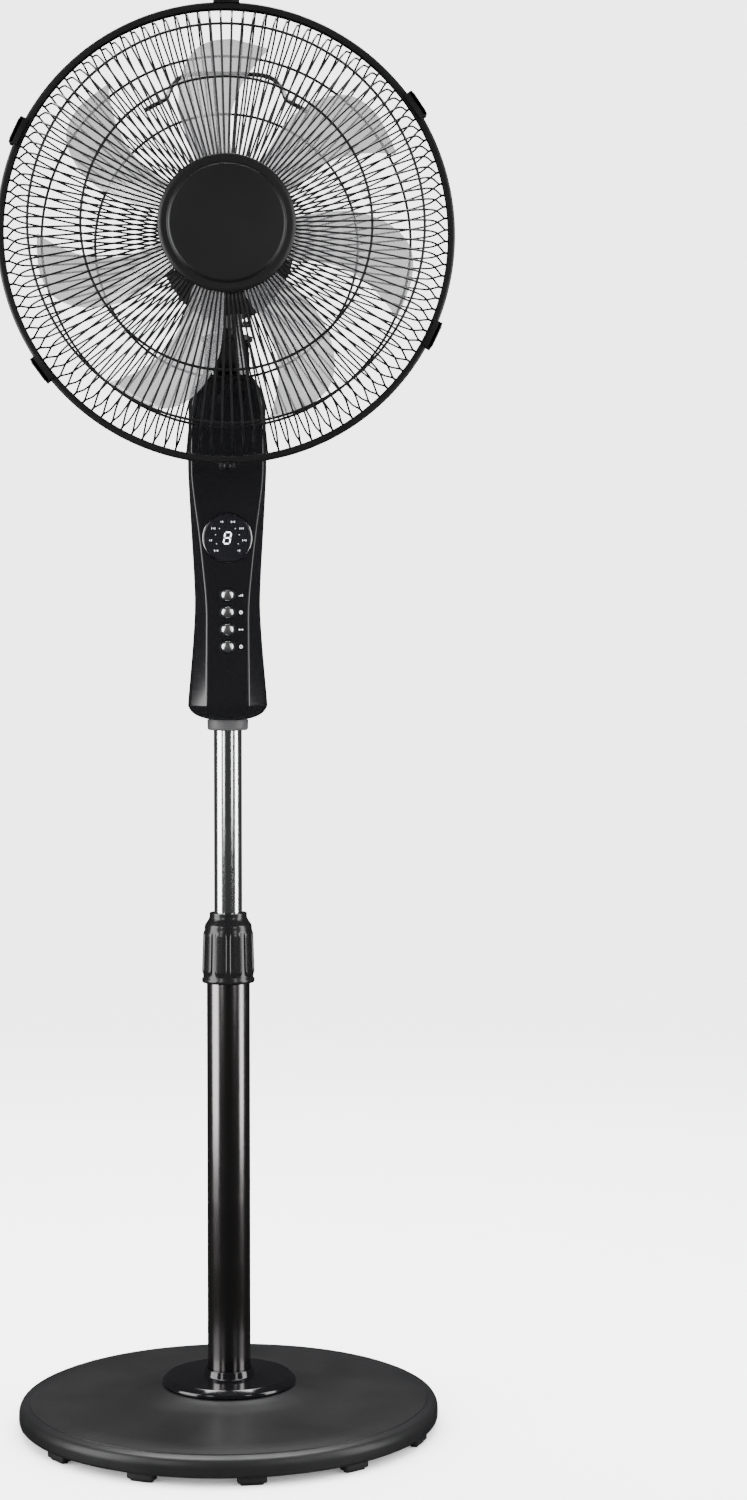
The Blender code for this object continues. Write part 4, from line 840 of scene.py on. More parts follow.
def box_shell(side, wall):
    """One half of the box as a closed shell, thick by wall."""
    stations = [Vector(station[:3]) for station in BOX_STATIONS]
    depths = smooth_path([(station[0], station[3], 0) for station in BOX_STATIONS], 5)
    widths = smooth_path(stations, 5)
    outer, inner = [
        [box_row(w.x, w.y, w.z, min(d.y, 1.0), side, inset) for w,
         d in zip(widths, depths)] for inset in (0, wall)
    ]
    closed = []
    for rows in (outer, inner):
        ends = []
        for row in (rows[0], rows[-1]):
            centre = (row[0] + row[-1]) / 2
            ends.append([centre] * len(row))
        closed.append([ends[0]] + rows + [ends[1]])
    outer, inner = closed
    shape = Shape()
    shape.grid(outer)
    shape.grid(inner)
    for end in (0, -1):
        shape.grid([[row[end] for row in outer], [row[end] for row in inner]])
    return shape


class FAN_OT_control_box(bpy.types.Operator):
    """Both shells of the control box, drilled for what shows through them"""

    bl_idname = "fan.control_box"
    bl_label = "Control box"

    def execute(self, context):
        front = box_shell(-1, 0.0022).piece(
            "box_front", "piano", "stem", ["control_front_shell"], "gloss_black_plastic", 30
        )
        back = box_shell(1, 0.0022).piece(
            "box_back", "piano", "stem", ["control_back_shell"], "gloss_black_plastic", 30
        )
        socket = Shape().turned([(0, BOX_BOTTOM - 0.01), (0.0168, BOX_BOTTOM - 0.01),
                                 (0.0168, BOX_BOTTOM + 0.008),
                                 (0, BOX_BOTTOM + 0.008)], 96)
        neck = Shape().box((-0.0204, -0.0174, BOX_TOP - 0.010), (0.0204, 0.0174, BOX_TOP + 0.01), 0.0012)
        holes = [socket, neck]
        face = -BOX_FRONT
        holes.append(self.hole(DISPLAY_Z, low_high("display_ring", 0)[1] + 0.0003, face, 128))
        holes += [self.hole(middle(name, 2), 0.00615, face, 64) for name in BUTTONS]
        drill(front, holes)
        drill(back, [socket, neck])
        for item in (front, back):
            item.data.set_sharp_from_angle(angle=radians(30))

        shape = Shape()
        for z in (BOX_BOTTOM + 0.052, BOX_TOP - 0.052):
            ring = rounded([(0.0042, BOX_BACK - 0.0004), (0.0058, BOX_BACK - 0.0004),
                            (0.0058, BOX_BACK + 0.0003),
                            (0.0042, BOX_BACK + 0.0003)], 0.0002, 3)
            shape.turned(ring, 48, (0, 0, z), "Y")
        shape.piece("screw_rings", "moulded", "stem", slot="gloss_black_plastic")
        gland_z = middle("lead_gland", 2)
        gland = rounded([
            (0.0030, BOX_BACK - 0.006), (0.0045, BOX_BACK - 0.006), (0.0045, BOX_BACK + 0.0003),
            (0.0080, BOX_BACK + 0.0003, 0.0005), (0.0070, BOX_BACK + 0.0035, 0.0008),
            (0.0030, BOX_BACK + 0.0035, 0.0004),
        ], 0.0002, 3)
        Shape().turned(gland, 48, (0, 0, gland_z), "Y").piece(
            "cord_gland", "moulded", "stem", ["lead_gland"], "matt_black_plastic"
        )
        return {"FINISHED"}

    def hole(self, z, radius, face, steps):
        return Shape().turned([(0, face - 0.01), (radius, face - 0.01), (radius, face + 0.0030),
                               (0, face + 0.0030)],
                              steps, (0, 0, z), "Y")


def bar(shape, start, end, width, y, height=0.0002):
    """A flat raised stroke on the front panel between two places (x, z)."""
    start, end = Vector(start), Vector(end)
    ahead = (end - start).normalized() * width / 2
    across = Vector((-ahead.y, ahead.x))
    outline = []
    for tip, sign in ((end, 1), (start, -1)):
        outline += [tip + across * sign - ahead * sign * 0.8,
                    tip + ahead * sign * 0.15 + across * 0.55 * sign,
                    tip + ahead * sign * 0.15 - across * 0.55 * sign,
                    tip - across * sign - ahead * sign * 0.8]
    shape.slab([tuple(point) for point in outline], y - height, y + 0.0001, lambda u, v, w: (u, w, v),
               height * 0.3, 1)


def hoop_mark(shape, centre, radius, width, y, height=0.0002):
    """A flat raised ring on the front panel."""
    outline = rounded([(radius - width, y + 0.0001), (radius, y + 0.0001), (radius, y - height),
                       (radius - width, y - height)], height * 0.3, 2)
    shape.turned(outline, 32, (centre[0], 0, centre[1]), "Y")


def dot(shape, centre, radius, y, height=0.0002):
    shape.turned([(0, y - height), (radius * 0.8, y - height), (radius, y - height * 0.5),
                  (radius, y + 0.0001),
                  (0, y + 0.0001)], 20, (centre[0], 0, centre[1]), "Y")


class FAN_OT_display(bpy.types.Operator):
    """Display window, its ring, the lit figure and the marks round it"""

    bl_idname = "fan.display"
    bl_label = "Display"

    def execute(self, context):
        face = -BOX_FRONT
        radius = low_high("display_ring", 0)[1]
        ring = rounded([
            (radius - 0.0009, face + 0.0022), (radius - 0.0009, face - 0.0003, 0.0002),
            (radius - 0.0005, face - 0.0006, 0.0003),
            (radius, face - 0.0001, 0.0004), (radius, face + 0.0022),
        ], 0.0001, 4)
        centre = (0, 0, DISPLAY_Z)
        Shape().turned(ring, 128, centre, "Y").piece(
            "window_ring", "dark_trim", "stem", ["display_ring"], "chrome"
        )
        glass = radius - 0.0011
        lens = rounded([(0, face - 0.0003), (glass - 0.0006, face - 0.0003, 0.0003), (glass, face, 0.0002),
                        (glass, face + 0.0022), (0, face + 0.0022)], 0.0001, 3)
        Shape().turned(lens, 128, centre, "Y").piece(
            "window", "window", "stem", ["display_lens"], "display_glass"
        )

        top = face - 0.0003
        figure = Shape()
        half_w, half_h, lean = 0.0028, 0.0052, 0.16
        gap, stroke = 0.0006, 0.00110

        def spot(u, v):
            return (u + v * lean, DISPLAY_Z + v)

        for v in (-half_h, 0, half_h):
            bar(figure, spot(-half_w + gap + 0.0002, v), spot(half_w - gap - 0.0002, v), stroke, top)
        for u in (-half_w, half_w):
            for low, high in ((-half_h, 0), (0, half_h)):
                bar(figure, spot(u, low + gap + 0.0002), spot(u, high - gap - 0.0002), stroke, top)
        figure.piece("display_figure", "lit", "stem")

        marks = Shape()
        for turn, strokes in ((-19, 2), (19, 3), (-56, 3), (56, 3), (-98, 2), (98, 3), (-138, 3), (138, 2)):
            a = radians(90 - turn)
            x, z = 0.0155 * cos(a), DISPLAY_Z + 0.0155 * sin(a)
            for index in range(strokes):
                u = x + (index - (strokes - 1) / 2) * 0.0015
                tall = 0.0008 if (index + strokes) % 2 else 0.0005
                bar(marks, (u, z - tall), (u + 0.0001, z + tall), 0.0004, top, 0.0001)
        # These marks' finish gives them a faint painted glow.
        marks.piece("display_marks", "painted_glow_print", "stem")
        lamps = Shape()
        for turn in (-40, 40, -75, 75, -118, 118):
            a = radians(90 - turn)
            dot(lamps, (0.0112 * cos(a), DISPLAY_Z + 0.0112 * sin(a)), 0.0005, top, 0.0001)
        lamps.piece("display_lamps", "dim", "stem")
        return {"FINISHED"}


class FAN_OT_buttons(bpy.types.Operator):
    """Four domed buttons in their rims, with a plain mark beside each"""

    bl_idname = "fan.buttons"
    bl_label = "Buttons"

    def execute(self, context):
        face = -BOX_FRONT
        radius = 0.0059
        marks = Shape()
        rims = Shape()
        for index, name in enumerate(BUTTONS):
            z = middle(name, 2)
            dome = smooth_path([(0, face - 0.0030, 0), (0.0030, face - 0.0026, 0), (0.0048, face - 0.0016,
                                                                                    0),
                                (radius, face + 0.0002, 0)], 6)
            outline = [(point.x, point.y) for point in dome] + [(radius, face + 0.0025), (0, face + 0.0025)]
            body = name.removeprefix("button_") + "_button"
            Shape().turned(outline, 64, (0, 0, z), "Y").piece(
                name + "_cap", "button", body, [name], "chrome_plastic", 60
            )
            rim = rounded([(0.00618, face + 0.0004), (0.0070, face + 0.0004), (0.0070, face - 0.0003,
                                                                               0.0003),
                           (0.00618, face - 0.0003, 0.0003)], 0.0002, 3)
            rims.turned(rim, 64, (0, 0, z), "Y")
            x = 0.0122
            if index == 0:
                for step, tall in enumerate((0.0008, 0.0014, 0.0020)):
                    bar(marks, (x - 0.0015 + step * 0.0014, z - 0.0011), (x - 0.0015 + step * 0.0014,
                                                                          z - 0.0011 + tall),
                        0.0005, face, 0.0001)
            elif index == 1:
                hoop_mark(marks, (x, z), 0.0015, 0.0004, face, 0.0001)
                bar(marks, (x, z), (x, z + 0.0009), 0.0004, face, 0.0001)
                bar(marks, (x, z), (x + 0.0007, z), 0.0004, face, 0.0001)
            elif index == 2:
                for sign in (-1, 1):
                    bar(marks, (x, z), (x + sign * 0.0019, z), 0.0004, face, 0.0001)
                    for lift in (-1, 1):
                        bar(marks, (x + sign * 0.0019, z), (x + sign * 0.0012, z + lift * 0.0006), 0.0004,
                            face, 0.0001)
            else:
                hoop_mark(marks, (x, z), 0.0014, 0.0004, face, 0.0001)
                bar(marks, (x, z + 0.0002), (x, z + 0.0019), 0.0004, face, 0.0001)
        # These marks' finish gives them a faint painted glow.
        marks.piece("button_marks", "painted_glow_print", "stem")
        rims.piece("button_rims", "piano", "stem", slot="gloss_black_plastic")
        return {"FINISHED"}


# ---------------------------------------------------------------- neck, motor and lead


def up_x(u, v, w):
    """Puts an outline of (y, z) across X."""
    return (w, u, v)


class FAN_OT_neck(bpy.types.Operator):
    """Forked neck with its ears, and the tilt bolt's washers"""

    bl_idname = "fan.neck"
    bl_label = "Neck"

    def execute(self, context):
        ear = low_high("neck_fork", 2)[1] - TILT_Z
        half = 0.020
        slot = 0.0133
        root = BOX_TOP - 0.030
        sides = [(ear * cos(pi * k / 32), TILT_Z + ear * sin(pi * k / 32)) for k in range(33)]
        outline = [(ear, root)] + sides + [(-ear, root)]
        shape = Shape()
        for low, high in ((-half, -slot), (slot, half)):
            shape.slab(outline, low, high, up_x, 0.0009, 4)
        saddle = rounded([(-ear + 0.0004, root + 0.0006), (ear - 0.0004, root + 0.0006),
                          (ear - 0.0004, TILT_Z - 0.0150, 0.002), (-ear + 0.0004, TILT_Z - 0.0150, 0.002)],
                         0.0006, 4)
        shape.slab(saddle, -slot - 0.002, slot + 0.002, up_x, 0.0003, 1)
        shape.box((-0.026, -0.022, root - 0.0045), (0.026, 0.022, root + 0.0012), 0.0015)
        for side in (-1, 1):
            ring = rounded([(0.0064, side * half), (0.0088, side * half, 0.0004),
                            (0.0088, side * (half + 0.0008), 0.0004),
                            (0.0064, side * (half + 0.0008), 0.0004)], 0.0003, 3)
            shape.turned([(r, x) for r, x in ring], 64, (0, 0, TILT_Z), "X")
            for reach in (-1, 1):
                rib = rounded([(reach * 0.0030 - 0.0007, root + 0.004), (reach * 0.0030 + 0.0007,
                                                                         root + 0.004),
                               (reach * 0.0030 + 0.0007, TILT_Z - 0.0098), (reach * 0.0030 - 0.0007,
                                                                            TILT_Z - 0.0098)],
                              0.0004, 3)
                ends = sorted((side * (half - 0.001), side * (half + 0.0005)))
                shape.slab(rib, *ends, up_x, 0.0003, 2)
        shape.piece("neck", "moulded", "stem", ["neck_fork"], "matt_black_plastic")

        for name, node, side in (("tilt_bolt_head", "tilt_bolt", -1), ("tilt_nut_face", "tilt_nut", 1)):
            seat = 0.0173
            if side < 0:
                outline = rounded([(0, -seat - 0.0027), (0.0044, -seat - 0.0027, 0.001),
                                   (0.0058, -seat - 0.0012, 0.001),
                                   (0.0058, -seat), (0.0030, -seat), (0.0030, seat + 0.0029, 0.0004),
                                   (0, seat + 0.0029)],
                                  0.0002, 4)
                shape = Shape().turned(outline, 48, (0, 0, TILT_Z), "X")
            else:
                hexagon = rounded([(0.0056 * cos(k * pi / 3),
                                    TILT_Z + 0.0056 * sin(k * pi / 3)) for k in range(6)],
                                  0.0003, 2)
                shape = Shape().slab(hexagon, seat, seat + 0.0026, up_x, 0.0004, 3)
            shape.piece(name, "steel", "stem", [node], "steel")
        return {"FINISHED"}


class FAN_OT_motor(bpy.types.Operator):
    """Vented casing and front shield"""

    bl_idname = "fan.motor"
    bl_label = "Motor casing"

    def execute(self, context):
        front, back = low_high("motor_cover", 1)
        wide = low_high("motor_cover", 0)[1]
        wall = 0.0022

        def louvres(angle, radius, place):
            if radius < wide - wall / 2 or not front + 0.014 < place < back - 0.031:
                return 0
            wave = 0.5 + 0.5 * cos(angle * 60)
            fade = min(1, (place - front - 0.014) / 0.002, (back - 0.031 - place) / 0.002)
            return -0.0012 * fade * max(0, min(1, (wave - 0.30) * 4))

        shell = [(wide, front), (wide, front + 0.010), (wide, front + 0.0140)]
        steps = 24
        span = back - 0.031 - front - 0.0140
        shell += [(wide, front + 0.0140 + span * k / steps) for k in range(1, steps + 1)]
        tail = smooth_path([(wide, back - 0.0290, 0), (wide - 0.0022, back - 0.0170, 0),
                            (wide - 0.0095, back - 0.0062, 0),
                            (wide - 0.0240, back - 0.0002, 0)], 8)
        shell += [(point.x, point.y) for point in tail]
        shell += [(wide - 0.030, back), (0.016, back), (0.015, back - 0.0012), (0.0120, back - 0.0012),
                  (0, back - 0.0006)]
        inside = [(0, back - wall - 0.001), (wide - 0.0265, back - wall - 0.001),
                  (wide - 0.0120, back - 0.0095),
                  (wide - wall - 0.0022, back - 0.0190), (wide - wall, back - 0.0300), (wide - wall, front)]
        cover = Shape().turned(shell + inside, 360, HEAD, "Y", louvres).piece(
            "casing", "casing", "head", ["motor_cover"], "gloss_black_plastic", 32
        )
        shelf = low_high("swing_motor", 2)[0]
        foot = Shape().box((-0.0143, -0.0143, shelf - 0.035), (0.0143, 0.0143, shelf + 0.001), 0.001)
        pinion_y = middle("swing_motor", 1)
        shaft = Shape().turned([(0, shelf - 0.03), (0.0042, shelf - 0.03), (0.0042, shelf), (0, shelf)], 32,
                               (0, pinion_y, 0))
        slots = []
        for ring, count in ((0.0235, 18), (0.0345, 24)):
            for index in range(count):
                a = 2 * pi * (index + 0.5) / count
                if abs(a - pi / 2) < 0.24:
                    continue
                slot = rounded([(ring - 0.0038, -0.0011), (ring + 0.0038, -0.0011), (ring + 0.0038, 0.0011),
                                (ring - 0.0038, 0.0011)], 0.001, 3)

                def put(u, v, w, a=a):
                    return (u * cos(a) - v * sin(a), w, HEAD_Z + u * sin(a) + v * cos(a))

                slots.append(Shape().slab(slot, back - 0.012, back + 0.004, put, 0.0001, 1))
        screw = middle("casing_screw", 2)
        well = Shape().turned([(0, back - 0.0080), (0.0040, back - 0.0080), (0.0040, back + 0.01),
                               (0, back + 0.01)], 32,
                              (0, 0, screw), "Y")
        joined = Shape()
        for tool in slots:
            base = len(joined.points)
            joined.points += tool.points
            joined.faces += [tuple(corner + base for corner in face) for face in tool.faces]
        drill(cover, [foot, shaft, joined, well])
        cover.data.set_sharp_from_angle(angle=radians(32))

        low, high = low_high("motor_front_shield", 1)
        shoulder = -0.042
        nose = 0.024
        shield = rounded([
            (0.0083, low), (nose - 0.0012, low, 0.0008), (nose, low + 0.0012, 0.0008),
            (nose, shoulder, 0.0015),
            (wide - 0.0034, shoulder, 0.0015), (wide, shoulder + 0.0034, 0.002), (wide, high),
            (wide - wall, high),
            (wide - wall, shoulder + 0.003), (nose - 0.004, shoulder + 0.003), (nose - 0.004, low + 0.004),
            (0.012, low + 0.004), (0.012, low + 0.012), (0.0083, low + 0.012),
        ], 0.0004, 4)

        Shape().turned(shield, 160, HEAD, "Y").piece(
            "front_shield", "matt", "head", ["motor_front_shield"], "matt_black"
        )
        return {"FINISHED"}


class FAN_OT_lead(bpy.types.Operator):
    """Ribbed sleeve from the box over the tilt joint and up into the swinging head"""

    bl_idname = "fan.lead"
    bl_label = "Motor lead"

    def execute(self, context):
        top = HEAD_Z - 0.0598
        tilt = TILT_Z
        lower = smooth_path([(0.0140, -0.0196, BOX_TOP - 0.002), (0.0138, -0.0222, tilt - 0.004),
                             (0.0125, -0.0258, tilt + 0.008),
                             (0.0108, -0.0276, tilt + 0.020)], 18)
        upper = smooth_path([(0.0108, -0.0276, tilt + 0.0200), (0.0096, -0.0272, tilt + 0.0290),
                             (0.0088, -0.0250, top + 0.0020)],
                            14)

        def ribs(index):
            return 0.0030 if index % 4 < 2 else 0.0024

        low = Shape().wire(lower, ribs, 16).piece("lead_lower", "sleeve", None,
                                                  slot="grey_rubber", sharp=25)
        tuple(lower[6])
        tuple(lower[-2])
        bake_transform(low)
        high = Shape().wire(upper, ribs, 16).piece("lead_upper", "sleeve", None, ["motor_lead"],
                                                   "grey_rubber", 25)
        tuple(upper[1])
        tuple(upper[-3])
        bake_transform(high)
        return {"FINISHED"}


# ---------------------------------------------------------------- cage


# Wires from the rim in: radius as set by the hoop, and how far along the guard's depth
FRONT_LINE = (
    (-0.0040, 0.000), (-0.0070, 0.000), (-0.0096, 0.030), (-0.0132, 0.300), (-0.0188, 0.700),
    (-0.0235, 0.860), (-0.0310, 0.950), (-0.0500, 0.975), (-0.0760, 0.992), (-0.1100, 0.998),
    (-0.1440, 1.000),
)
REAR_LINE = (
    (-0.0040, 0.000), (-0.0070, 0.000), (-0.0096, 0.020), (-0.0132, 0.200), (-0.0172, 0.395),
    (-0.0235, 0.500), (-0.0352, 0.613), (-0.0600, 0.785), (-0.0830, 0.938), (-0.1000, 0.972),
    (-0.1200, 0.990), (-0.1420, 1.000),
)


def guard_wires(shape, cage, line, seat, depth):
    """Adds every radial wire of one guard, and gives back the line that each follows."""
    profile = smooth_path([(HOOP_RADIUS + r, HOOP_Y + seat + (depth - seat) * share, 0) for r,
                           share in line], 3)
    for index in range(cage.wire_count):
        a = 2 * pi * (index + 0.5) / cage.wire_count
        shape.wire([(p.x * cos(a), p.y, HEAD_Z + p.x * sin(a)) for p in profile], cage.wire_diameter / 2, 7)
    return profile


def ring_wire(shape, profile, radius, thickness, lift):
    """Adds a ring that crosses the wires at a radius, on one side of them."""
    nearest = min(profile, key=lambda point: abs(point.x - radius))
    path = [(radius * cos(2 * pi * k / 180), nearest.y + lift,
             HEAD_Z + radius * sin(2 * pi * k / 180)) for k in range(180)]
    shape.wire(path, thickness / 2, 10, closed=True)


class FAN_OT_guards(bpy.types.Operator):
    """Front and rear guard: radial wires, their rings and the plates in the middle"""

    bl_idname = "fan.guards"
    bl_label = "Guards"

    def execute(self, context):
        cage = context.scene.fan_cage
        front_y = low_high("front_guard", 1)[0] + 0.001
        rear_y = low_high("rear_guard", 1)[1] - 0.001
        thin = cage.wire_diameter / 2 + cage.ring_diameter / 2 - 0.0003

        shape = Shape()
        profile = guard_wires(shape, cage, FRONT_LINE, -0.0014, front_y - HOOP_Y)
        for radius in (0.169, 0.124):
            ring_wire(shape, profile, radius, cage.ring_diameter, thin)
        ring_wire(shape, profile[:2], HOOP_RADIUS - 0.0038, 0.0024, 0)
        plate = rounded([(0.040, front_y - 0.0006), (0.0570, front_y - 0.0006), (0.0575, front_y + 0.0006),
                         (0.040, front_y + 0.0008)], 0.0003, 3)
        shape.turned(plate, 128, HEAD, "Y")
        shape.piece("guard_front", "wire", "head", ["front_guard"], "wire_black", 50)

        shape = Shape()
        profile = guard_wires(shape, cage, REAR_LINE, 0.0014, rear_y - HOOP_Y)
        for radius in (0.164, 0.118):
            ring_wire(shape, profile, radius, cage.ring_diameter, -thin)
        ring_wire(shape, profile[:2], HOOP_RADIUS - 0.0038, 0.0024, 0)
        plate = rounded([
            (0.0252, rear_y - 0.0008), (0.0300, rear_y - 0.0008), (0.0600, rear_y - 0.0009, 0.0004),
            (0.0608, rear_y + 0.0009, 0.0004), (0.0440, rear_y + 0.0008), (0.0252, rear_y + 0.0008),
        ], 0.0003, 3)
        shape.turned(plate, 128, HEAD, "Y")
        shape.piece("guard_rear", "wire", "head", ["rear_guard"], "wire_black", 50)
        return {"FINISHED"}


class FAN_OT_hoop(bpy.types.Operator):
    """Hoop round both guards, its catch, hinge lugs, screw and lever clips"""

    bl_idname = "fan.hoop"
    bl_label = "Hoop and clips"

    def execute(self, context):
        r = HOOP_RADIUS
        front, back = HOOP_FRONT, HOOP_BACK
        section = rounded([
            (r, HOOP_Y, 0.003), (r - 0.0004, back - 0.0010, 0.0010), (r - 0.0018, back, 0.0008),
            (r - 0.0064, back, 0.0006),
            (r - 0.0065, back - 0.0014, 0.0004), (r - 0.0016, back - 0.0016, 0.0006),
            (r - 0.0016, front + 0.0016, 0.0006),
            (r - 0.0065, front + 0.0014, 0.0004), (r - 0.0064, front, 0.0006), (r - 0.0018, front, 0.0008),
            (r - 0.0004, front + 0.0010, 0.0010),
        ], 0.0005, 4)
        shape = Shape().turned(section, 360, HEAD, "Y")
        top = r + 0.0040
        shape.on_ring(0, (r - 0.0012, -0.0115, front - 0.0010), (top - 0.0006, 0.0115, back + 0.0010),
                      0.0012)
        shape.on_ring(0, (r, -0.0070, front - 0.0016), (top, 0.0070, back - 0.0010), 0.0010)
        shape.on_ring(180, (r - 0.0012, -0.0070, front - 0.0010), (top, 0.0070, back + 0.0010), 0.0012)
        turns = []
        for name in CLIPS:
            low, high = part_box(name)
            x, z = (low[0] + high[0]) / 2, (low[2] + high[2]) / 2 - HEAD_Z
            turns.append((90 - atan2(z, x) * 180 / pi) % 360)
        hinge_r, hinge_y = r + 0.0022, back + 0.0020
        for turn in turns:
            for side in (-1, 1):
                ends = sorted((side * 0.0085, side * 0.0125))
                shape.on_ring(turn, (r - 0.0010, ends[0], back - 0.0010), (hinge_r + 0.0012, ends[1],
                                                                           hinge_y + 0.0012),
                              0.0006)
            pin = [ring_place(turn, hinge_r, along, hinge_y) for along in (-0.0124, 0, 0.0124)]
            shape.wire(pin, 0.0007, 12)
        shape.piece("hoop", "hoop", "head", ["guard_hoop"], "satin_black_plastic", 35)

        for index, (name, turn) in enumerate(zip(CLIPS, turns)):
            clip = Shape()
            clip.on_ring(turn, (r + 0.0003, -0.0125, front - 0.0024), (top - 0.0006, 0.0125, back - 0.0018),
                         0.0009)
            clip.on_ring(turn, (r + 0.0010, -0.0100, front - 0.0020), (top, 0.0100, back - 0.0035), 0.0009)
            for step in range(4):
                y = front + 0.0002 + step * 0.0016
                clip.on_ring(turn, (top - 0.0008, -0.0080, y), (top, 0.0080, y + 0.0008), 0.0003)
            clip.on_ring(turn, (r - 0.0045, -0.0125, front - 0.0024), (top - 0.0010, 0.0125,
                                                                       front - 0.0003), 0.0007)
            clip.on_ring(turn, (hinge_r - 0.0012, -0.0082, back - 0.0030), (hinge_r + 0.0014, 0.0082,
                                                                            hinge_y + 0.0012),
                         0.0008)
            clip.piece(f"clip_lever_{index + 1}", "hoop", f"clip_{index + 1}", [name],
                       "satin_black_plastic")

        low = low_high("hoop_screw", 1)[0]
        z = middle("hoop_screw", 2)
        head = rounded([(0, low), (0.0020, low, 0.0006), (0.0030, low + 0.0008, 0.0006),
                        (0.0030, low + 0.0018),
                        (0.0013, low + 0.0018), (0.0013, back + 0.0016, 0.0004), (0, back + 0.0018)],
                       0.0002, 3)
        screw = Shape().turned(head, 40, (0, 0, z), "Y").piece(
            "hoop_screw_head", "black_screw", "head", ["hoop_screw"], "steel"
        )
        drill(screw, [Shape().box((-0.0020, low - 0.001, z - 0.0003), (0.0020, low + 0.0007, z + 0.0003),
                                  0.0001),
                      Shape().box((-0.0003, low - 0.001, z - 0.0020), (0.0003, low + 0.0007, z + 0.0020),
                                  0.0001)])
        return {"FINISHED"}


class FAN_OT_handle(bpy.types.Operator):
    """Carrying handle welded to the rear guard"""

    bl_idname = "fan.handle"
    bl_label = "Handle"

    def execute(self, context):
        lie = HOOP_Y + 0.0692
        lift = low_high("guard_handle", 1)[1] - 0.0022
        low, high = HOOP_RADIUS - 0.060, HOOP_RADIUS - 0.042
        half = [(31, low, lie), (28, low, lie), (24.5, low + 0.0005, lie + 0.001),
                (22, low + 0.003, lie + 0.008),
                (20, low + 0.0095, lift - 0.009), (18, low + 0.0150, lift - 0.0035),
                (15, high + 0.0015, lift - 0.0004),
                (11, high + 0.0022, lift), (5, high + 0.0006, lift)]
        route = half + [(0, high, lift)] + [(-turn, r, y) for turn, r, y in half[::-1]]
        path = smooth_path([ring_place(turn, r, 0, y) for turn, r, y in route], 6)
        Shape().wire(path, 0.0022, 14).piece("carry_handle", "wire", "head", ["guard_handle"],
                                             "wire_black", 50)
        return {"FINISHED"}


class FAN_OT_cap(bpy.types.Operator):
    """Round cap over the middle of the front guard, and the nut behind the rear one"""

    bl_idname = "fan.cap"
    bl_label = "Centre cap"

    def execute(self, context):
        front, back = low_high("centre_cap", 1)
        wide = middle("centre_cap", 0) + low_high("centre_cap", 0)[1]
        raised = 0.0502
        outline = rounded([
            (0, front), (raised - 0.0016, front, 0.0009), (raised - 0.0002, front + 0.0012, 0.0007),
            (raised + 0.0003, front + 0.0026, 0.0006), (raised + 0.0011, front + 0.0030, 0.0004),
            (wide - 0.0030, front + 0.0024, 0.0015), (wide - 0.0003, front + 0.0040, 0.0014),
            (wide, back, 0.0003),
            (wide - 0.003, back), (0, back),
        ], 0.0003, 6)
        Shape().turned(outline, 200, HEAD, "Y").piece(
            "cap", "cap", "head", ["centre_cap"], "satin_black_plastic", 40
        )

        low, high = low_high("guard_nut", 1)
        wide = low_high("guard_nut", 0)[1]

        def flutes(angle, radius, place):
            return -0.0011 * max(0, cos(angle * 24)) ** 2 if radius > wide - 0.0004 else 0

        nut = rounded([(0.0243, high), (wide - 0.0018, high, 0.0008), (wide, high - 0.002, 0.001),
                       (wide, low + 0.0022, 0.001), (wide - 0.0018, low, 0.0008), (0.030, low, 0.001),
                       (0.0290, low + 0.0012, 0.0006), (0.0243, low + 0.0012)], 0.0004, 4)
        Shape().turned(nut, 192, HEAD, "Y", flutes).piece(
            "clamp_nut", "moulded", "head", ["guard_nut"], "matt_black_plastic"
        )
        return {"FINISHED"}


# ---------------------------------------------------------------- blades


# Blade outline from root to tip: leading reach and angle, trailing reach and angle, depth along the axis
BLADE_LINE = (
    (0.000, 13.0, 0.000, -33.0, 0.040),
    (0.130, 10.0, 0.130, -26.5, 0.041),
    (0.266, 8.0, 0.266, -21.0, 0.042),
    (0.425, 7.5, 0.425, -17.8, 0.039),
    (0.576, 6.2, 0.592, -18.4, 0.036),
    (0.728, 2.6, 0.758, -21.8, 0.033),
    (0.860, -2.0, 0.872, -25.0, 0.0295),
    (0.947, -6.8, 0.947, -27.3, 0.025),
    (0.985, -11.5, 0.978, -28.4, 0.019),
    (1.000, -17.0, 0.992, -28.4, 0.014),
)


HUB_RADIUS = 0.030
HUB_LENGTH = 0.058
BLADE_TIP_GAP = 0.034
BLADE_FIRST_TURN = radians(3)


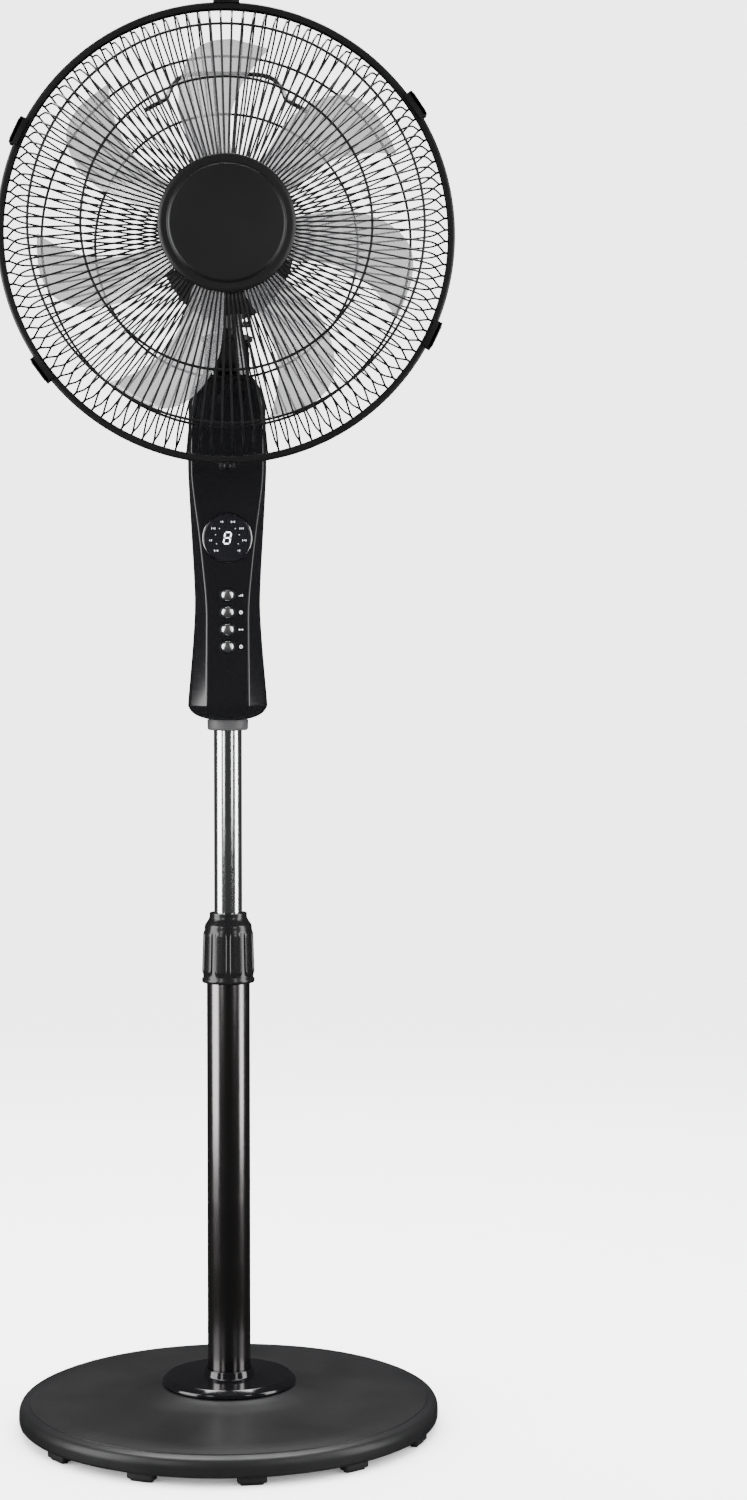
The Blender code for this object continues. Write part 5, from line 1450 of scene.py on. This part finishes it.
class FAN_OT_blades(bpy.types.Operator):
    """Hub with its swept, see-through blades, and the nut in front of it"""

    bl_idname = "fan.blades"
    bl_label = "Blades"

    def execute(self, context):
        wheel = context.scene.fan_wheel
        low, high = low_high("fan_blade", 1)
        radius = HUB_RADIUS
        hub_low = low_high("blade_nut", 1)[1] + 0.0003
        hub_high = hub_low + HUB_LENGTH
        middle_y = (hub_low + hub_high) / 2 - 0.001
        tip = HOOP_RADIUS - BLADE_TIP_GAP
        root = radius - 0.0012
        leads = smooth_path([(line[0], line[1], line[4]) for line in BLADE_LINE], 4)
        trails = smooth_path([(line[2], line[3], 0) for line in BLADE_LINE], 4)
        chord = 16
        shape = Shape()
        for blade in range(wheel.blade_count):
            turn = BLADE_FIRST_TURN + 2 * pi * blade / wheel.blade_count
            rows = []
            for lead, trail in zip(leads, trails):
                front_side, back_side = [], []
                for step in range(chord + 1):
                    share = step / chord
                    r = root + (tip - root) * (lead.x + (trail.x - lead.x) * share)
                    angle = radians(lead.y + (trail.y - lead.y) * share) + turn
                    hump = 1 - (2 * share - 1) ** 2
                    y = middle_y + lead.z * (share - 0.5) + 0.12 * lead.z * hump
                    thick = wheel.thickness / 2 * (0.30 + 0.70 * min(1, hump * 6)) * (1 - 0.4 * lead.x)
                    for side, row in ((-1, front_side), (1, back_side)):
                        row.append(Vector((r * cos(angle), y + side * thick, HEAD_Z + r * sin(angle))))
                rows.append(front_side + back_side[::-1])
            shape.grid(rows, around=True)
            shape.cap(rows[0])
            shape.cap(rows[-1])
        shape.piece("blades", "blade", "rotor", ["fan_blade"], "smoke_plastic", 50)

        hub = rounded([
            (0.0043, hub_low), (radius - 0.0042, hub_low, 0.0012), (radius - 0.0008, hub_low + 0.0034,
                                                                    0.0025),
            (radius, hub_low + 0.0070, 0.002), (radius, hub_high, 0.0006), (radius - 0.0024, hub_high,
                                                                            0.0006),
            (radius - 0.0024, hub_low + 0.0040, 0.001), (0.0100, hub_low + 0.0040),
            (0.0100, hub_high - 0.003),
            (0.0043, hub_high - 0.003),
        ], 0.0004, 4)
        Shape().turned(hub, 128, HEAD, "Y").piece("hub", "hub", "rotor", slot="smoke_plastic")

        def flutes(angle, r, place):
            return -0.0008 * max(0, cos(angle * 8)) ** 2 if r > 0.0085 and place < hub_low - 0.002 else 0

        front = low_high("blade_nut", 1)[0]
        back = hub_low - 0.0003
        nut = rounded([(0, front), (0.0060, front + 0.0005, 0.001), (0.0095, front + 0.0030, 0.002),
                       (0.0120, back - 0.0040, 0.002), (0.0140, back - 0.0008, 0.0006),
                       (0.0140, back, 0.0004),
                       (0.0043, back), (0.0043, back - 0.013), (0, back - 0.013)], 0.0004, 4)
        Shape().turned(nut, 96, HEAD, "Y", flutes).piece(
            "spinner_nut", "moulded", "rotor", ["blade_nut"], "matt_black_plastic"
        )
        return {"FINISHED"}


# ---------------------------------------------------------------- what the frame shows itself


DRESSED = {
    "steel": ("base_washer", "base_bolt", "shell_screw_lower", "shell_screw_upper", "swing_spindle",
              "spindle_screw", "casing_screw", "swing_motor", "motor_shaft", "drive_pin"),
    "cast": ("pole_foot", "motor_rear_shield"),
    "ballast": ("base_weight",),
    "natural": ("clamp_sleeve", "pole_guide", "swing_pinion"),
    "board": ("display_board", "control_board"),
    "moulded": ("tilt_bracket",),
    "bronze": ("front_bearing", "rear_bearing"),
    "sheets": ("stator_core", "motor_rotor"),
    "winding": ("front_winding", "rear_winding"),
}


class FAN_OT_inner(bpy.types.Operator):
    """Finishes for the frame's own pieces that stay as they are"""

    bl_idname = "fan.inner"
    bl_label = "Inner pieces"

    def execute(self, context):
        for finish, nodes in DRESSED.items():
            for node in nodes:
                dress(node, finish)
        return {"FINISHED"}


class FAN_OT_finishes(bpy.types.Operator):
    """Mixes every finish that the pieces use"""

    bl_idname = "fan.finishes"
    bl_label = "Finishes"

    def execute(self, context):
        colours = context.scene.fan_colours
        black = tuple(colours.black)
        FINISHES.update({
            "base": painted("base_paint", black, 0.37),
            "matt": painted("matt_paint", lighter(black, 1.2), 0.5),
            "disc": polished("disc_gloss", tuple(colours.gloss), 0.10),
            "wire": painted("wire_coating", lighter(black, 0.8), 0.30, 0.00002, 1400),
            "dark_pole": plated("dark_chrome_tube", tuple(colours.pole), 0.20),
            "bright_pole": plated("bright_chrome_tube", (0.86, 0.87, 0.88), 0.14),
            "button": plated("button_chrome", (0.82, 0.83, 0.84), 0.24, 1, 0.02),
            "dark_trim": plated("dark_trim", (0.30, 0.30, 0.31), 0.12, 1, 0.03),
            "black_screw": machined("blackened_steel", (0.05, 0.05, 0.052), 0.35),
            "piano": polished("piano_black", tuple(colours.gloss), 0.17),
            "collar": moulded("collar_plastic", lighter(black, 0.8), 0.20, coat=0.1),
            "casing": moulded("casing_plastic", lighter(black, 0.8), 0.16, coat=0.4),
            "moulded": moulded("moulded_black", lighter(black, 1.1), 0.42),
            "hoop": moulded("hoop_plastic", lighter(black, 0.5), 0.36),
            "cap": moulded("cap_plastic", lighter(black, 0.5), 0.38),
            "grey": moulded("socket_grey", (0.022, 0.022, 0.023), 0.45),
            "sleeve": moulded("sleeve_rubber", (0.13, 0.13, 0.135), 0.5),
            "natural": moulded("natural_plastic", (0.72, 0.72, 0.69), 0.45),
            "blade": smoky("smoky_blade", tuple(colours.blade), context.scene.fan_wheel.opacity),
            "hub": moulded("smoky_hub", lighter(tuple(colours.blade), 0.5), 0.25, coat=0.2),
            "window": glass_black("window_black"),
            "lit": lit("lit_figure", (0.92, 0.95, 1.0), 1.2),
            # Printed marks glow faintly: painted light on ink that is no lamp.
            "painted_glow_print": lit("printed_mark_painted_glow", (0.75, 0.76, 0.78), 0.15),
            "dim": lit("dim_lamp", (0.25, 0.26, 0.28), 0.05),
            "board": board("board_green", (0.02, 0.12, 0.05)),
            "steel": machined("plated_steel", (0.55, 0.56, 0.57), 0.28),
            "bronze": machined("bearing_bronze", (0.62, 0.42, 0.20), 0.3),
            "cast": cast("cast_alloy", (0.42, 0.43, 0.44)),
            "ballast": cast("ballast_stone", (0.28, 0.27, 0.26), 0.85, 300.0, 0.0),
            "sheets": stacked("core_sheets", (0.32, 0.32, 0.34)),
            "winding": wound("copper_winding", (0.72, 0.30, 0.12)),
        })
        return {"FINISHED"}


# ---------------------------------------------------------------- stage


CAMERA_DISTANCE = 2.50
CAMERA_HEIGHT = 0.731
CAMERA_TURN = 3.09
CAMERA_DIP = 2.33
CAMERA_LENS = 64.8

FLOOR_REACH = 9.0
FLOOR_BEND = 3.0
PAPER = (0.90, 0.90, 0.90)
PAPER_GLOW = 3.8
AIR_GLOW = 0.04
FAN_MIDDLE = (0, 0, 0.65)
# Name, place, what it faces, width and height, watts
LAMPS = (
    ("left_box", (-2.15, -0.62, 0.95), FAN_MIDDLE, (1.5, 2.2), 80),
    ("right_box", (2.15, -0.62, 0.95), FAN_MIDDLE, (0.9, 2.2), 48),
    ("top_box", (0, 0.9, 3.4), (0, 0, 0), (2.6, 1.6), 230),
    ("front_left_box", (-1.5, -2.2, 1.4), FAN_MIDDLE, (0.5, 1.6), 14),
    ("front_right_box", (1.5, -2.2, 1.4), FAN_MIDDLE, (0.5, 1.6), 12),
)


def softbox(name, place, target, size, watts):
    """A rectangular lamp that faces a place."""
    data = bpy.data.lights.new(name, "AREA")
    data.shape = "RECTANGLE"
    data.size, data.size_y = size
    data.energy = watts
    lamp = bpy.data.objects.new(name, data)
    lamp.location = place
    lamp.rotation_euler = (Vector(target) - Vector(place)).to_track_quat("-Z", "Y").to_euler()
    bpy.context.scene.collection.objects.link(lamp)
    return lamp


def backdrop():
    """Pale paper that is lit by the lamps near the fan and glows evenly farther away."""
    paper = Finish("studio_paper", PAPER, 0.9, Specular_IOR_Level=0.0, Emission_Strength=PAPER_GLOW)
    place = paper.place()
    away = paper.axis(place, 0) ** 2 + paper.axis(place, 1) ** 2 + paper.axis(place, 2) ** 2
    far = paper.ramp(away * 0.12, ((0.04, 0.0), (0.80, 1.0)))
    paper.set("Base Color", paper.tint(far, PAPER, (0.05, 0.05, 0.05)))
    paper.set("Emission Color", paper.tint(far, (0.04, 0.04, 0.04), (1.0, 1.0, 1.0)))
    return paper.material


class FAN_OT_stage(bpy.types.Operator):
    """Pale floor that curves up behind, studio lamps and the camera"""

    bl_idname = "fan.stage"
    bl_label = "Stage"

    def execute(self, context):
        reach, bend = FLOOR_REACH, FLOOR_BEND
        steps, around = 12, 64
        arc = [pi / 2 * k / steps for k in range(1, steps + 1)]
        turns = [2 * pi * k / around for k in range(around)]
        line = [(0, 0), (0.6, 0), (1.5, 0), (3.0, 0), (reach - bend, 0)]
        line += [(reach - bend + bend * sin(a), bend - bend * cos(a)) for a in arc]
        line += [(reach * cos(a), bend + reach * 0.6 * sin(a)) for a in arc]
        rows = [[Vector((r * cos(turn), r * sin(turn), z)) for turn in turns] for r, z in line]
        sweep = Shape().grid(rows, around=True)
        mesh = bpy.data.meshes.new("studio_floor")
        mesh.from_pydata(sweep.points, [], sweep.faces)
        mesh.shade_smooth()
        studio = bpy.data.objects.new("studio_floor", mesh)
        bpy.context.scene.collection.objects.link(studio)
        mesh.materials.append(backdrop())
        studio.visible_glossy = False

        world = bpy.data.worlds.new("studio_air")
        world.use_nodes = True
        world.node_tree.nodes["Background"].inputs["Color"].default_value = (1, 1, 1, 1)
        world.node_tree.nodes["Background"].inputs["Strength"].default_value = AIR_GLOW
        context.scene.world = world

        for lamp in LAMPS:
            softbox(*lamp)

        data = bpy.data.cameras.new("camera")
        data.sensor_fit = "VERTICAL"
        data.sensor_height = 36.0
        data.lens = CAMERA_LENS
        camera = bpy.data.objects.new("camera", data)
        camera.location = (0, -CAMERA_DISTANCE, CAMERA_HEIGHT)
        camera.rotation_euler = (radians(90 - CAMERA_DIP), 0, radians(-CAMERA_TURN))
        bpy.context.scene.collection.objects.link(camera)
        context.scene.camera = camera
        return {"FINISHED"}


# ---------------------------------------------------------------- panel and start


SETTINGS = (
    ("fan_stand", FanStandSettings),
    ("fan_cage", FanCageSettings),
    ("fan_wheel", FanBladeSettings),
    ("fan_colours", FanColourSettings),
)
OPERATORS = (
    FAN_OT_finishes, FAN_OT_base, FAN_OT_poles, FAN_OT_collar, FAN_OT_control_box, FAN_OT_display,
    FAN_OT_buttons, FAN_OT_neck, FAN_OT_motor, FAN_OT_lead, FAN_OT_guards, FAN_OT_hoop, FAN_OT_handle,
    FAN_OT_cap, FAN_OT_blades, FAN_OT_inner, FAN_OT_stage,
)


class FAN_PT_panel(bpy.types.Panel):
    """Settings and builders of the fan"""

    bl_idname = "FAN_PT_panel"
    bl_label = "Pedestal Fan"
    bl_space_type = "VIEW_3D"
    bl_region_type = "UI"
    bl_category = "Fan"

    def draw(self, context):
        for name, group in SETTINGS:
            box = self.layout.box()
            for key in group.__annotations__:
                box.prop(getattr(context.scene, name), key)
        for operator in OPERATORS:
            self.layout.operator(operator.bl_idname)


def register():
    for name, group in SETTINGS:
        bpy.utils.register_class(group)
        setattr(bpy.types.Scene, name, PointerProperty(type=group))
    for operator in OPERATORS:
        bpy.utils.register_class(operator)
    bpy.utils.register_class(FAN_PT_panel)


def unregister():
    bpy.utils.unregister_class(FAN_PT_panel)
    for operator in reversed(OPERATORS):
        bpy.utils.unregister_class(operator)
    for name, group in reversed(SETTINGS):
        delattr(bpy.types.Scene, name)
        bpy.utils.unregister_class(group)


def main():
    register()
    for operator in OPERATORS:
        family, name = operator.bl_idname.split(".")
        getattr(getattr(bpy.ops, family), name)()


if __name__ == "__main__":
    main()
